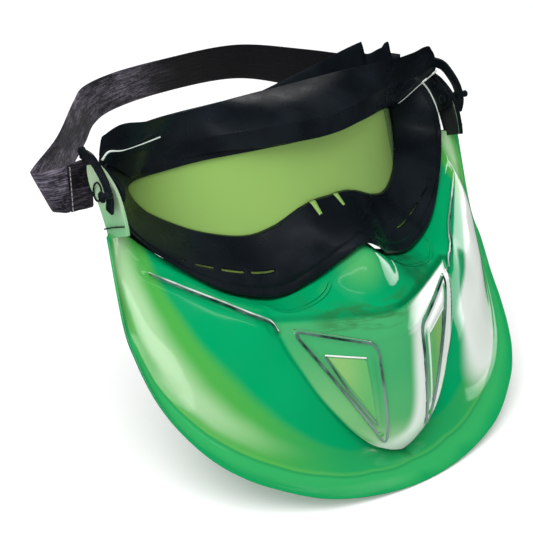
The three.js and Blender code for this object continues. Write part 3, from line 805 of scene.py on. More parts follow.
BEZEL_SHARES = [0, 0.012, 0.04, 0.15, 0.3, 0.45, 0.54, 0.58, 0.64, 0.7, 0.78, 0.83, 0.85, 0.87, 0.89, 0.97, 1]
SLOT_ROW = BEZEL_SHARES.index(0.58)  # the air slots lie between this row and the next
BACK_SHARES = [0.9, 0.64, 0.58, 0.1]
# Air slots of the right half, as steps round the frame.
AIR_SLOTS = [(106, 107), (110, 117), (119, 127), (129, 138)]
# Towards the cheek the bezel's lines run nearer its outer edge: a power of the share, by step.
SHARE_POWER = [(60, 1), (106, 0.45), (110, 0.58), (117, 0.89), (127, 1), (180, 1)]
LIP_FORWARD = 1.2  # how far the bezel stands in front of the lens at the opening
BEZEL = {"crown": 1.0, "step": 0.9, "back": 3.2, "lip": 1.75, "groove": 2.9, "groove_reach": 2.6}


def towards_middle(points, distance):
    """Points moved towards the middle of the opening, in the front view."""
    inward = np.array(OPENING_MIDDLE) - points[:, [0, 2]]
    inward /= np.linalg.norm(inward, axis=1, keepdims=True)
    moved = points.copy()
    moved[:, [0, 2]] += inward * distance
    return moved


def pushed_back(points, distance):
    return points + np.array([0, distance, 0])


def bezel(share, depth=0.0):
    """The bezel's front face: share 0 at the opening and 1 at the outer edge."""
    steps = np.arange(RING_STEPS)
    power = np.interp(np.minimum(steps, RING_STEPS - steps), *zip(*SHARE_POWER))[:, None]
    share = share + (share**power - share) * smooth_step(share, 0.04, 0.45)
    flat = opening * (1 - share) + front_ring * share
    flat[:, 1] += depth - LIP_FORWARD * (1 - share[:, 0])
    return flat


def bezel_at(t, share, depth):
    """Points of the bezel at t round it, with the share not bent towards the cheek."""
    share = np.asarray(share)[..., None]
    point = opening_at(t) * (1 - share) + catmull(ring_keys(FRAME_FRONT), t, closed=True) * share
    point[..., 1] += depth - LIP_FORWARD * (1 - share[..., 0])
    return point


def bezel_height(share):
    """How far a share of the bezel stands out: a low crown, then a step down to the outer border."""
    if share <= 0.83:
        return -BEZEL["crown"] * math.sin(math.pi * share)
    if share <= 0.87:
        return -BEZEL["crown"] * 0.5 + BEZEL["step"] * (share - 0.83) / 0.04
    return BEZEL["step"] - BEZEL["crown"] * 0.5 - 0.4 * (share - 0.87) / 0.13


def goggle_frame():
    """A hoop round the opening: bezel, side wall and the groove that holds the lens."""
    rows = [bezel(0, BEZEL["lip"]), bezel(0, 0.5)]
    first_bezel_row = len(rows)
    rows += [bezel(share, bezel_height(share)) for share in BEZEL_SHARES]
    lower_lip = front_ring.copy()
    lower_lip[:, 2] -= 1.3 * smooth_step(-front_ring[:, 2], 8, 26)
    rows[-1] = lower_lip + np.array([0, 0.1, 0])
    rows += [pushed_back(lower_lip, 0.9), pushed_back(front_ring, 1.5)]
    for share in (0.25, 0.5, 0.75, 0.97):
        rows.append(pushed_back(front_ring, 1.5) * (1 - share) + rear_ring * share)
    rows += [towards_middle(rear_ring, 0.7), towards_middle(rear_ring, 2.6)]
    rows.append(pushed_back(towards_middle(front_ring, 3), 4))
    first_back_row = len(rows)
    rows += [bezel(share, BEZEL["back"]) for share in BACK_SHARES]
    groove = towards_middle(opening, -BEZEL["groove_reach"])
    groove[:, 1] = lens_y(groove[:, 0], groove[:, 2]) - LIP_FORWARD
    lip = BEZEL["lip"]
    rows += [bezel(0, lip + BEZEL["groove"] + 0.9), bezel(0, lip + BEZEL["groove"])]
    rows += [pushed_back(groove, lip + BEZEL["groove"]), pushed_back(groove, lip)]
    grid = np.stack(rows, axis=1)
    front_row = first_bezel_row + SLOT_ROW
    back_row = first_back_row + BACK_SHARES.index(0.64)
    openings = AIR_SLOTS + [(RING_STEPS - b, RING_STEPS - a) for a, b in AIR_SLOTS]
    return slotted_hoop("frame_bezel", grid, front_row, back_row, openings)


def slotted_hoop(name, grid, front_row, back_row, openings):
    """A closed hoop with slots from the strip after front_row through to the strip after back_row."""
    steps, rows = grid.shape[:2]
    open_steps = {i for start, end in openings for i in range(start, end)}
    faces = []
    for i in range(steps):
        j = (i + 1) % steps
        for k in range(rows):
            if i in open_steps and k in (front_row, back_row):
                continue
            n = (k + 1) % rows
            faces.append((i * rows + k, j * rows + k, j * rows + n, i * rows + n))
        if i in open_steps:
            for a, b in ((front_row, back_row + 1), (back_row, front_row + 1)):
                faces.append((i * rows + a, j * rows + a, j * rows + b, i * rows + b))
    for start, end in openings:
        for i in (start, end):
            faces.append((
                i * rows + front_row, i * rows + front_row + 1, i * rows + back_row, i * rows + back_row + 1,
            ))
    return face_out(mesh_object(name, grid.reshape(-1, 3), faces))


def lens_grid(grow, rings, steps, depth):
    """Polar grid over the lens: its pole in the middle, its rim grown by grow."""
    t = np.linspace(0, 1, steps, endpoint=False)
    edge = catmull(ring_keys(SIGHT_OPENING), t, closed=True)
    middle = np.array(OPENING_MIDDLE, float)
    away = edge - middle
    away /= np.linalg.norm(away, axis=1, keepdims=True)
    edge = edge + away * grow
    share = np.linspace(0, 1, rings + 1)[1:]
    xz = middle + (edge - middle)[:, None, :] * share[None, :, None]
    return with_y(xz, lens_y(xz[..., 0], xz[..., 1]) + depth)


def lens_plate(rings=24, steps=240):
    """The lens: two polar grids closed at their poles and joined at the rim."""
    grow, depth, thickness = LENS["lip"], LENS["depth"], LENS["thickness"]
    front = lens_grid(grow, rings, steps, depth)
    back = lens_grid(grow, rings, steps, depth + thickness)
    middle = lens_y(OPENING_MIDDLE[0], OPENING_MIDDLE[1]) + depth
    vertices = np.concatenate([
        front.reshape(-1, 3), back.reshape(-1, 3),
        [(0, middle, OPENING_MIDDLE[1]), (0, middle + thickness, OPENING_MIDDLE[1])],
    ])
    size = steps * rings
    faces = []
    for i in range(steps):
        j = (i + 1) % steps
        faces.append((2 * size, i * rings, j * rings))
        faces.append((2 * size + 1, size + j * rings, size + i * rings))
        for k in range(rings - 1):
            a, b, c, d = i * rings + k, i * rings + k + 1, j * rings + k + 1, j * rings + k
            faces.append((a, b, c, d))
            faces.append((a + size, d + size, c + size, b + size))
        outer_i, outer_j = i * rings + rings - 1, j * rings + rings - 1
        faces.append((outer_i, outer_i + size, outer_j + size, outer_j))
    return face_out(mesh_object("lens_plate", vertices, faces))


def nose_notch(side):
    """A narrow notch in the bezel over the nose through which the lens shows."""
    count = 9
    share = np.linspace(-0.02, 0.4, count)
    middle = 0.5125 + side * 0.0225
    rows = []
    for lift in (-0.28, 1.2):
        edges = []
        for edge in (-1, 1):
            half = 0.0042 * np.linspace(1, 0.35, count)
            edges.append(bezel_at(middle + edge * half + side * 0.004 * share, share, lift - 0.35))
        rows.append(np.stack(edges, 1))
    return closed_sheet(sided("nose_notch", side), rows[0], rows[1])


def vent_baffle(side):
    """A green strip set into the wall behind the air slots, coloured as the light that comes through them."""
    steps = np.arange(104, 141)
    picked = steps if side > 0 else RING_STEPS - steps
    shares = np.linspace(0.575, 0.645, 3)
    front = np.stack([bezel(share, 0.9)[picked] for share in shares], 1)
    return closed_sheet(sided("vent_strip", side), front, pushed_back(front, 0.9))


def face_flange():
    """Soft ring that stands up behind the brow on the wearer's left and ends there in a ragged notch."""
    lip = face_ring.copy()
    rise = np.interp(lip[:, 0], *zip(*FLANGE_RISE))
    lip[:, 2] += np.where(lip[:, 2] > 0, FLANGE_HEIGHT * rise * np.minimum(1, lip[:, 2] / 20), 0)
    root = pushed_back(rear_ring, 0.35)
    rows = []
    for share in np.linspace(0, 1, 9):
        row = root * (1 - share) + lip * share
        belly = 1.6 * math.sin(math.pi * share)
        rows.append(towards_middle(row, belly))
    rows.append(pushed_back(towards_middle(lip, 0.5), 0.45))
    rows.append(pushed_back(towards_middle(lip, 1.4), 0.3))
    for share in np.linspace(1, 0, 8):
        row = root * (1 - share) + lip * share
        rows.append(towards_middle(row, 1.8 + 1.6 * math.sin(math.pi * share)))
    grid = np.stack(rows, axis=1)
    return face_out(grid_object("flange_skin", grid, wrap_u=True, wrap_v=True))


def brow_cover():
    """The cap over the top of the frame: a front face up to a crease, then a top back to the ridge."""
    t = np.linspace(0, 1, 240)
    lower = catmull(arch_keys(BROW_LOWER), t)
    crease = catmull(arch_keys(BROW_CREASE), t)
    ridge = catmull(arch_keys(BROW_RIDGE), t)
    wall = 1.6
    crease_share = 0.4

    def profile(share):
        if share <= crease_share:
            return lower + (crease - lower) * (share / crease_share)
        up = (share - crease_share) / (1 - crease_share)
        crown = 1.2 * math.sin(math.pi * up)
        return crease + (ridge - crease) * up + np.array([0, 0, crown])

    shares = [
        0, 0.02, 0.1, 0.2, 0.3, 0.36, 0.385, 0.4, 0.415, 0.44,
        0.5, 0.58, 0.66, 0.74, 0.82, 0.9, 0.96, 0.99, 1.0,
    ]
    front = np.stack([profile(s) for s in shares], 1)
    back = front + np.array([0, wall, -wall * 0.5])
    obj = closed_sheet("brow_cap", front, back)
    return soften(obj, 0.5, 3, 50)


def brow_bead(side):
    """A pale bead in the joint between the brow's end and the frame, coloured as a painted highlight."""
    if side < 0:
        path = [(95.4, -10.6, 21), (92, -11.0, 24.2), (86, -11.6, 23.4), (78, -12.4, 24.2), (68, -13.6, 26)]
        radii = [0.5, 0.42, 0.16, 0.34]
    else:
        path = [(76.5, -4.2, 5.2), (81, -5.2, 8.2), (86, -7.1, 12.8), (91, -9.1, 17), (95.2, -10.8, 20.6)]
        radii = [0.16, 0.2, 0.26, 0.4]
    centre = to_side(catmull(path, np.linspace(0, 1, 31)), side)
    return tube(sided("brow_bead", side), centre, np.interp(np.arange(31), [0, 10, 18, 30], radii), 10)


def side_bead(side):
    """A pale bead down the joint between the bezel's outer edge and the frame's side, coloured as a painted
    highlight.
    """
    count = 28
    steps = np.linspace(57, 84, count) / RING_STEPS
    centre = to_side(bezel_at(steps, np.full(count, 0.985), -0.1), side)
    radii = np.interp(np.arange(count), [0, 4, 14, 27], [0.2, 0.5, 0.4, 0.12])
    return tube(sided("side_bead", side), centre, radii, 10)


def lug_face(u, depth):
    """Points of the lug's outer face at shares u from its front to its rear edge, sunk by depth."""
    u = np.asarray(u)[:, None, None]
    t = np.linspace(0, 1, 41)
    yz = catmull(EAR_FRONT, t)[None] * (1 - u) + catmull(EAR_REAR, t)[None] * u
    x = (EAR["front_x"] * (1 - u) + EAR["rear_x"] * u)[..., 0] - depth + np.zeros(yz.shape[:2])
    return np.stack([x, yz[..., 0], yz[..., 1]], -1)


def ear_hem(side):
    """A black bead along the lug's front edge."""
    return tube(sided("ear_hem", side), to_side(lug_face([0], EAR["thickness"] / 2)[0], side), 0.95, 12)


def ear_dark_sheet(side):
    """A thin black sheet on the lug's inner face."""
    across = np.linspace(0.06, 0.94, 7)
    inside = EAR["thickness"] + 0.02
    faces = (to_side(lug_face(across, inside + lining), side) for lining in (0, 0.35))
    return closed_sheet(sided("ear_dark_sheet", side), *faces)


def pin_link(side):
    """A short black link from the headband pin to a second, smaller knob."""
    path = [(102.4, -20.5, 9.3), (102.6, -22.5, 10.2), (101.6, -25.2, 11.6)]
    link = tube("link", to_side(catmull(path, np.linspace(0, 1, 9)), side), 0.75, 10)
    x = 99.4
    profile = [(x, 0), (x, 1.1), (x + 1.2, 1.6), (x + 2.4, 1.7), (x + 3.1, 1.1), (x + 3.3, 0)]
    return joined(sided("pin_link", side), link, lathe_x("knob", profile, -25.4, 11.7, side, 24))


def outrigger(side):
    """The goggle's side plate, which carries the pin."""
    outline = ring_points(PIN["y"], PIN["z"], 4.6, 26, 90, 250)
    outline += [(-12, -2), (-4, 2), (-4, 13), (-9, 16.5)]
    obj = plate(sided("side_lug", side), outline, 92.4, 1.8, side)
    return soften(obj, 0.35)


def headband_pin(side):
    """A shouldered pin through the side plate, the lug and the clip, with a dimpled outer head."""
    outer = CLIP["x"] + CLIP["thickness"] + 0.35
    inner = 92.4 - 0.35
    r, head = PIN["radius"], PIN["head_radius"]
    profile = [
        (inner - 0.7, 0), (inner - 0.65, head * 0.6), (inner - 0.4, head), (inner, head), (inner, r),
        (outer, r), (outer, head - 0.2), (outer + 0.2, head), (outer + 0.7, head), (outer + 1.2, head * 0.86),
        (outer + 1.6, head * 0.5), (outer + 1.7, head * 0.25), (outer + 1.5, 0),
    ]
    return lathe_x(sided("pin", side), profile, PIN["y"], PIN["z"], side)


# ---------- shield ----------


def keel_y(z):
    """Depth of the snout's middle line at each height."""
    line = catmull(SNOUT_KEEL, np.linspace(0, 1, 200))
    return np.interp(-z, -line[:, 0], line[:, 1])


def snout_half_width(z):
    line = catmull(SNOUT_EDGE, np.linspace(0, 1, 120))
    return np.interp(-z, -line[:, 1], line[:, 0])


def snout_y(x, z):
    """The snout: two flanks that meet in a rounded keel, and fall away beyond its outline."""
    keel = SNOUT["keel_half_width"]
    flat = np.hypot(x, keel) - keel
    below = np.clip((SNOUT["top_z"] - z) / SNOUT["height"], 0, 1)
    beyond = np.maximum(0, np.abs(x) - snout_half_width(z))
    above = np.maximum(0, z - SNOUT["top_z"])
    deeper = np.maximum(0, SNOUT_EDGE[-1][1] - z) * SNOUT["side_slope"]
    y = keel_y(z) + flat * SNOUT["flank_slope"] * (1 - 0.12 * below)
    return y + beyond * SNOUT["side_slope"] + above * SNOUT["top_slope"] + deeper - SNOUT["proud"]


def nose_y(x, z):
    """The dome over the nose, which widens downwards."""
    down = (NOSE["top_z"] - z) / (NOSE["top_z"] - NOSE["low_z"])
    half_width = NOSE["top_width"] + (NOSE["low_width"] - NOSE["top_width"]) * down
    below = np.maximum(0, down - 1)
    ridge = NOSE["top_y"] + (NOSE["low_y"] - NOSE["top_y"]) * down
    return ridge + NOSE["depth"] * ((x / half_width) ** 2 + (6 * below) ** 2)


def distance_to_line(x, z, line):
    """Distance in the front view from each point to a polyline of x and z."""
    best = np.full(x.shape, 1e9)
    for (ax, az), (bx, bz) in zip(line[:-1], line[1:]):
        dx, dz = bx - ax, bz - az
        s = np.clip(((x - ax) * dx + (z - az) * dz) / (dx * dx + dz * dz), 0, 1)
        best = np.minimum(best, np.hypot(x - ax - s * dx, z - az - s * dz))
    return best


def window_outline(grow, side):
    """Rounded three-cornered outline of a breathing window, in x and z, grown by grow."""
    corners = np.array(WINDOW_CORNERS, float)
    away = corners - corners.mean(0)
    grown = corners + away / np.linalg.norm(away, axis=1, keepdims=True) * grow
    outline = []
    for i in range(3):
        corner, following = grown[i], grown[(i + 1) % 3]
        before = corner + (grown[i - 1] - corner) * CORNER_SHARE
        after = corner + (following - corner) * CORNER_SHARE
        far_end = following + (corner - following) * CORNER_SHARE
        for s in np.arange(5) / 5:
            outline.append((1 - s) ** 2 * before + 2 * s * (1 - s) * corner + s * s * after)
        outline += [after * (1 - s) + far_end * s for s in np.linspace(0, 1, 12)[:-1]]
    outline = np.array(outline)
    outline[:, 0] *= side
    return outline


# A raised bead below the goggle, in x and z, that hooks down at its inner end.
RIDGE_LINE = [(89, -25), (81.5, -29), (70.5, -34.6), (61, -39.2), (54.5, -42), (51.5, -44), (49.8, -48)]
# Where the deep emerald of the panel gives way to the painted light of the wings, in x and z.
WING_LIGHT_BORDER = [(85.2, -25.9), (81.4, -42.6), (68.9, -66.1), (50.3, -89.1), (25, -106), (0, -108)]
TINT_MIDDLE = (0, -30)


def reach_of(line, x, z):
    """Distance of an outline from the tint's middle, in the direction of each point."""
    line = np.array(line, float)
    turn = np.arctan2(TINT_MIDDLE[1] - line[:, 1], line[:, 0])
    radius = np.hypot(line[:, 0], line[:, 1] - TINT_MIDDLE[1])
    at = np.arctan2(TINT_MIDDLE[1] - z, np.abs(x))
    return np.interp(at, turn, radius)


def tag_shield(obj):
    """Stores on each vertex how far it lies across the wing (0 border, 1 lip) and across the rim
    (0 lip, 1 outer edge), and how many millimetres below the upper edge and inside the snout."""
    place = np.array([v.co for v in obj.data.vertices]) / MM
    x, _, z = place.T
    top, lip, edge = (reach_of([(kx, kz) for kx, _, kz in SHIELD_ROWS[row]], x, z) for row in (0, 3, 4))
    inner = reach_of(WING_LIGHT_BORDER, x, z)
    radius = np.hypot(x, z - TINT_MIDDLE[1])
    in_height = np.minimum(SNOUT["top_z"] - z, z - SNOUT_EDGE[-1][1])
    tags = {
        "wing": (radius - inner) / (lip - inner),
        "rim": (radius - lip) / (edge - lip),
        "hem": radius - top,
        "snout": np.minimum(snout_half_width(z) - np.abs(x), in_height),
    }
    for name, values in tags.items():
        layer = obj.data.attributes.new(name, "FLOAT", "POINT")
        layer.data.foreach_set("value", values.astype(np.float32))
    return obj


def shield_face(u, v):
    """Outer face of the shield: u from left to right, v from the upper edge to the rim."""
    rows = np.stack([catmull([(-x, y, z) for x, y, z in row] + row[-2::-1], u) for row in SHIELD_ROWS])
    at = np.interp(v, ROW_SHARES, np.linspace(0, 1, len(ROW_SHARES)))
    point = np.swapaxes(catmull(rows, at), 0, 1)
    x, y, z = point[..., 0], point[..., 1], point[..., 2]
    held = np.minimum(1, np.minimum(v / 0.04, (1 - v) / 0.08))[None, :]
    relief = smooth_less(smooth_less(y, snout_y(x, z), 1.6), nose_y(x, z), 4)
    y = y + (relief - y) * held
    ridge = distance_to_line(np.abs(x), z, RIDGE_LINE)
    y = y - 1.1 * np.exp(-(ridge / 0.9) ** 2) * held  # the raised line
    y = y + 0.7 * np.exp(-((ridge - 2.2) / 1.0) ** 2) * held  # the dip beside it
    return np.stack([x, y, z], -1)


def on_panel(side, path, proud):
    """Points on the shield's outer face above a path of x and z."""
    face = shield_face(np.linspace(0, 0.5, 181), np.linspace(0, 0.4, 121)).reshape(-1, 3)
    points = []
    for x, z in path:
        near = face[np.argmin((face[:, 0] + x) ** 2 + (face[:, 2] - z) ** 2)]
        points.append((side * x, near[1] - proud, z + 0.4 * proud))
    return np.array(points)


def panel_bead(side, name, shift, radius):
    """A fine bead along the panel's raised line; shift moves it down."""
    path = catmull([(x, z - shift) for x, z in RIDGE_LINE], np.linspace(0, 1, 60))
    centre = on_panel(side, path, 1.0)
    centre[1:-1] = (centre[:-2] + centre[1:-1] + centre[2:]) / 3
    taper = np.interp(np.arange(60), [0, 8, 50, 59], [0.4, 1, 1, 0.5])
    return tube(sided(name, side), centre, radius * taper, 8)


def face_shield():
    """The shield's shell, with the two window openings cut through it."""
    u = np.linspace(0, 1, 341)
    v = np.concatenate([np.linspace(0, 0.9, 171)[:-1], np.linspace(0.9, 1, 25)])
    front = shield_face(u, v)
    back = pushed_back(front, SHIELD_WALL)
    obj = closed_sheet("shield_shell", front, back)
    tools = []
    for side in SIDES.values():
        outline = window_outline(0.35, side=side)
        near, far = ([(x, y, z) for x, z in outline] for y in (-130, -60))
        tools.append(prism("window_tool", near, far))
    return tag_shield(cut_with(obj, *tools))


def strip_faces(count, depth, first, last):
    """Faces round a ring of count columns, between its rows first and last, with depth rows in a column."""
    return [
        (i * depth + k, j * depth + k, j * depth + k + 1, i * depth + k + 1)
        for i, j in zip(range(count), [*range(1, count), 0])
        for k in range(first, last)
    ]


def breath_window(side):
    """Cover plate with a raised rim, a groove inside it and a raised face."""
    outline = window_outline(0.0, side)
    middle = outline.mean(0)
    reach = np.linalg.norm(outline - middle, axis=1).min()
    # Distance from the rim inwards, and how proud the plate is there.
    steps = [(0.0, 0.1), (0.3, 0.6), (0.8, 0.65), (1.2, 0.1), (2.2, 0.1), (2.7, 0.55), (4.5, 0.6)]
    shares = [(1 - distance / reach * 0.9, proud) for distance, proud in steps]
    shares += [(0.45, 0.6), (0.3, 0.6), (0.15, 0.6)]
    front_rows = len(shares)
    shares += [(0.15, -2.1), (0.5, -2.1), (1.0, -2.1)]
    rows = [on_flank(1, middle + (outline - middle) * share, proud) for share, proud in shares]
    grid = np.stack(rows, 1)
    count, depth = grid.shape[:2]
    faces = strip_faces(count, depth, 0, front_rows - 1) + strip_faces(count, depth, front_rows, depth - 1)
    for i in range(count):
        j = (i + 1) % count
        faces.append((i * depth, j * depth, j * depth + depth - 1, i * depth + depth - 1))
    for row in (front_rows - 1, front_rows):
        faces.append(tuple(i * depth + row for i in range(count)))
    return tag_shield(face_out(mesh_object(sided("window_cover", side), grid.reshape(-1, 3), faces)))


def on_flank(side, path, proud):
    """Points of the snout's flank for a path of x and z."""
    path = np.array(path, float)
    return np.stack([side * path[:, 0], snout_y(path[:, 0], path[:, 1]) - proud, path[:, 1]], 1)


def rounded_triangle(corners, share, count=12):
    """A closed three-cornered line with rounded corners, in x and z."""
    corners = np.array(corners, float)
    line = []
    for i in range(3):
        corner = corners[i]
        before = corner + (corners[i - 1] - corner) * share
        after = corner + (corners[(i + 1) % 3] - corner) * share
        for s in np.linspace(0, 1, count // 2):
            line.append((1 - s) ** 2 * before + 2 * s * (1 - s) * corner + s * s * after)
        following = corners[(i + 1) % 3]
        end = following + (corner - following) * share
        line += [after + (end - after) * s for s in np.linspace(0, 1, count)[1:-1]]
    return np.array(line)


def window_shade_bead(side):
    """A dark bead in the groove round the breathing window: painted shade in the groove, with a painted
    highlight lower down.
    """
    corners = np.array(WINDOW_CORNERS)
    inset = corners + (corners.mean(0) - corners) * 0.045
    line = rounded_triangle(inset, 0.1, 24)
    return tube(sided("window_shade_bead", side), on_flank(side, np.vstack([line, line[:2]]), 0.55), 0.62, 10)


def window_panel(side):
    """The raised three-cornered panel in the middle of the window, sloping down from its upper edge."""
    corners = [(18.5, -62), (34, -59.5), (16.6, -93)]
    outline = rounded_triangle(corners, 0.06, 16)
    middle = outline.mean(0)
    rows = []
    for share, proud in ((1, 0.2), (0.97, 0.95), (0.9, 1.05), (0.5, 0.9), (0.1, 0.9)):
        rows.append(on_flank(side, middle + (outline - middle) * share, proud))
    grid = np.stack(rows, 1)
    count, depth = grid.shape[:2]
    faces = strip_faces(count, depth, 0, depth - 1)
    for row in (0, depth - 1):
        faces.append(tuple(i * depth + row for i in range(count)))
    return face_out(mesh_object(sided("window_panel", side), grid.reshape(-1, 3), faces))


def panel_line(side, name, start, end, bow):
    """A fine raised line on the panel from start to end, bowed sideways in the middle."""
    start, end = np.array(start, float), np.array(end, float)
    s = np.linspace(0, 1, 15)[:, None]
    across = np.array([end[1] - start[1], start[0] - end[0]]) / np.linalg.norm(end - start)
    path = start + (end - start) * s + across * bow * np.sin(math.pi * s)
    return tube(sided(name, side), on_flank(side, path, 1.0), 0.42, 8)


def window_stud(side):
    """The small round stud at the window's lower corner."""
    turn = np.linspace(0, 2 * math.pi, 21)[:-1]
    path = np.stack([15.2 + 1.3 * np.cos(turn), -99.5 + 1.0 * np.sin(turn)], 1)
    return prism(sided("window_stud", side), on_flank(side, path, 1.15), on_flank(side, path, 0.1))


def shield_ear(side):
    """The lug that hangs the shield on the headband pin."""
    across = np.linspace(0, 1, 9)
    faces = (to_side(lug_face(across, depth), side) for depth in (0, EAR["thickness"]))
    return soften(closed_sheet(sided("ear_lug", side), *faces), 0.45, 3, 50)


def ear_seam(side):
    """Dark joint line where the lug meets the shield's corner."""
    path = [(97.0, -29.8, -2.3), (98.2, -23, -5), (99.2, -15.8, -8.5)]
    return tube(sided("ear_seam", side), to_side(catmull(path, np.linspace(0, 1, 15)), side), 0.32, 8)


def ear_ring(side):
    """Raised oval ring on the lug, behind the clip."""
    turn = np.linspace(0, 2 * math.pi, 41)
    y = -11.3 + 3.3 * np.cos(turn) - 1.6 * np.sin(turn)
    z = 7.4 + 4.6 * np.sin(turn) + 0.6 * np.cos(turn)
    path = np.stack([side * np.full(41, 98.9), y, z], 1)
    return tube(sided("ear_ring", side), path, 0.42, 10)


# ---------- headband ----------


def strap_clip(side):
    """The bent arm between the pin and the webbing's end."""
    line = catmull(CLIP_LINE, np.linspace(0, 1, 49))
    along = np.gradient(line, axis=0)
    along /= np.linalg.norm(along, axis=1, keepdims=True)
    across = np.stack([-along[:, 1], along[:, 0]], 1)
    offset = across * CLIP["width"] / 2
    outline = [*(line + offset), *(line - offset)[::-1]]
    arm = plate(sided("clip_arm", side), outline, CLIP["x"], CLIP["thickness"], side)
    return soften(arm, 0.5)


def hook_and_bar(side):
    """The hook over the top of the sewn loop and the bar inside it."""
    path = [
        (CLIP["x"] + 0.8, -2.5, BAR["high_z"] + 0.3),
        (CLIP["x"] + 0.2, 1.5, BAR["high_z"] + 0.6),
        (BAR["x"] + 1, 4.2, BAR["high_z"] + 0.2),
        (BAR["x"], BAR["y"], BAR["high_z"] - 3),
        (BAR["x"], BAR["y"], BAR["low_z"] + 0.2),
    ]
    centre = to_side(catmull(path, np.linspace(0, 1, 41)), side)
    return tube(sided("clip_hook", side), centre, BAR["radius"])


def tube(name, centre, radius, sides=16):
    """A round bar along a line of points, closed at both ends; radius is one number or one for each point."""
    count = len(centre)
    radius = (np.ones(count) * radius)[:, None, None]
    along = np.gradient(centre, axis=0)
    along /= np.linalg.norm(along, axis=1, keepdims=True)
    first = np.cross(along, np.array([0.31, 0.95, 0.05]))
    first /= np.linalg.norm(first, axis=1, keepdims=True)
    second = np.cross(along, first)
    angles = np.linspace(0, 2 * np.pi, sides, endpoint=False)
    ring = first[:, None] * np.cos(angles)[None, :, None] + second[:, None] * np.sin(angles)[None, :, None]
    grid = centre[:, None] + radius * ring
    faces = []
    for i in range(count - 1):
        for j in range(sides):
            k = (j + 1) % sides
            faces.append((i * sides + j, (i + 1) * sides + j, (i + 1) * sides + k, i * sides + k))
    faces.append(tuple(range(sides)))
    faces.append(tuple((count - 1) * sides + j for j in range(sides - 1, -1, -1)))
    return face_out(mesh_object(name, grid.reshape(-1, 3), faces))


def centripetal(keys, steps=40):
    """Points of a centripetal Catmull-Rom spline, steps of them between each two keys."""
    keys = np.asarray(keys, float)
    padded = np.vstack([2 * keys[0] - keys[1], keys, 2 * keys[-1] - keys[-2]])
    points = []
    for i in range(1, len(padded) - 2):
        p0, p1, p2, p3 = padded[i - 1:i + 3]
        d = [max(1e-4, np.linalg.norm(b - a) ** 0.5) for a, b in ((p0, p1), (p1, p2), (p2, p3))]
        m1 = (p1 - p0) / d[0] - (p2 - p0) / (d[0] + d[1]) + (p2 - p1) / d[1]
        m2 = (p2 - p1) / d[1] - (p3 - p1) / (d[1] + d[2]) + (p3 - p2) / d[2]
        m1, m2 = m1 * d[1], m2 * d[1]
        for s in np.linspace(0, 1, steps, endpoint=False):
            h = (2 * s**3 - 3 * s**2 + 1, s**3 - 2 * s**2 + s, -2 * s**3 + 3 * s**2, s**3 - s**2)
            points.append(h[0] * p1 + h[1] * m1 + h[2] * p2 + h[3] * m2)
    points.append(keys[-1])
    return np.array(points)


def set_uv(obj, uv_of_vertex):
    """Gives a cloth piece its place along and across the webbing, in metres."""
    layer = obj.data.uv_layers.new(name="cloth")
    for loop in obj.data.loops:
        layer.data[loop.index].uv = uv_of_vertex[loop.vertex_index]


def evenly(line, length, even):
    """A line of points taken again at even lengths."""
    return np.stack([np.interp(even, length, line[:, k]) for k in range(3)], 1)


def webbing():
    """The elastic band, ribbed across, with its length and its mean width."""
    upper, lower = centripetal(STRAP_UPPER), centripetal(STRAP_LOWER)
    steps = np.linalg.norm(np.diff((upper + lower) / 2, axis=0), axis=1)
    length = np.concatenate([[0], np.cumsum(steps)])
    rib_pitch = 0.9
    count = int(length[-1] / rib_pitch * 4)
    even = np.linspace(0, length[-1], count)
    upper, lower = evenly(upper, length, even), evenly(lower, length, even)
    middle = (upper + lower) / 2
    along = np.gradient(middle, axis=0)
    out = np.stack([along[:, 1], -along[:, 0], np.zeros(count)], 1)
    out /= np.linalg.norm(out, axis=1, keepdims=True)
    v = np.linspace(0, 1, 33)
    base = lower[:, None] * (1 - v[None, :, None]) + upper[:, None] * v[None, :, None]
    rib = 0.035 * np.sin(2 * np.pi * even / rib_pitch)[:, None]
    edge = 1 - 0.45 * (np.abs(2 * v - 1) ** 10)
    half = WEBBING_THICKNESS / 2 - 0.1
    front = base + out[:, None] * (half * edge + rib)[..., None]
    back = base - out[:, None] * (half * edge - rib)[..., None]
    obj = closed_sheet("webbing_band", front, back)
    width = np.linalg.norm(upper - lower, axis=1).mean()
    uv = [(e * MM, w * width * MM) for e in even for w in v]
    set_uv(obj, uv + uv)
    return obj, length[-1], width


def on_loop(side, along, out, up):
    """A point of the sewn end: along from the bar, out of its middle plane and up from its middle."""
    turn = math.pi / 2 if side > 0 else math.pi
    c, s = math.cos(turn), math.sin(turn)
    return side * BAR["x"] + c * along - s * out, BAR["y"] + s * along + c * out, STRAP_END["z"] + up


def loop_half(along):
    """Half the sewn end's thickness: full round the bar, thinner where it is stitched."""
    return STRAP_END["thickness"] / 2 * min(1, max(0.62, 1 - 0.12 * (along - 1.6)))


def strap_end(side):
    """Doubled webbing sewn round the clip's bar: bulged at the bar, flat where it is stitched."""
    round_share = 0.12  # of its length, at the closed end
    profile = []
    for share in np.linspace(0, 1, 40):
        along = STRAP_END["length"] * share - STRAP_END["behind"]
        half = loop_half(along)
        if share < round_share:
            half *= math.sqrt(1 - (1 - share / round_share) ** 2) * 0.98 + 0.02
        profile.append((along, half))
    v = np.linspace(-0.5, 0.5, 27)
    edge = 1 - 0.3 * np.abs(2 * v) ** 12
    height = STRAP_END["height"]

    def face_rows(face):
        return np.array([
            [on_loop(side, along, face * half * e, w * height) for w, e in zip(v, edge)]
            for along, half in profile
        ])

    obj = closed_sheet(sided("sewn_loop", side), face_rows(1), face_rows(-1))
    uv = [(along * MM, w * height * MM) for along, _ in profile for w in v]
    set_uv(obj, uv + uv)
    return obj


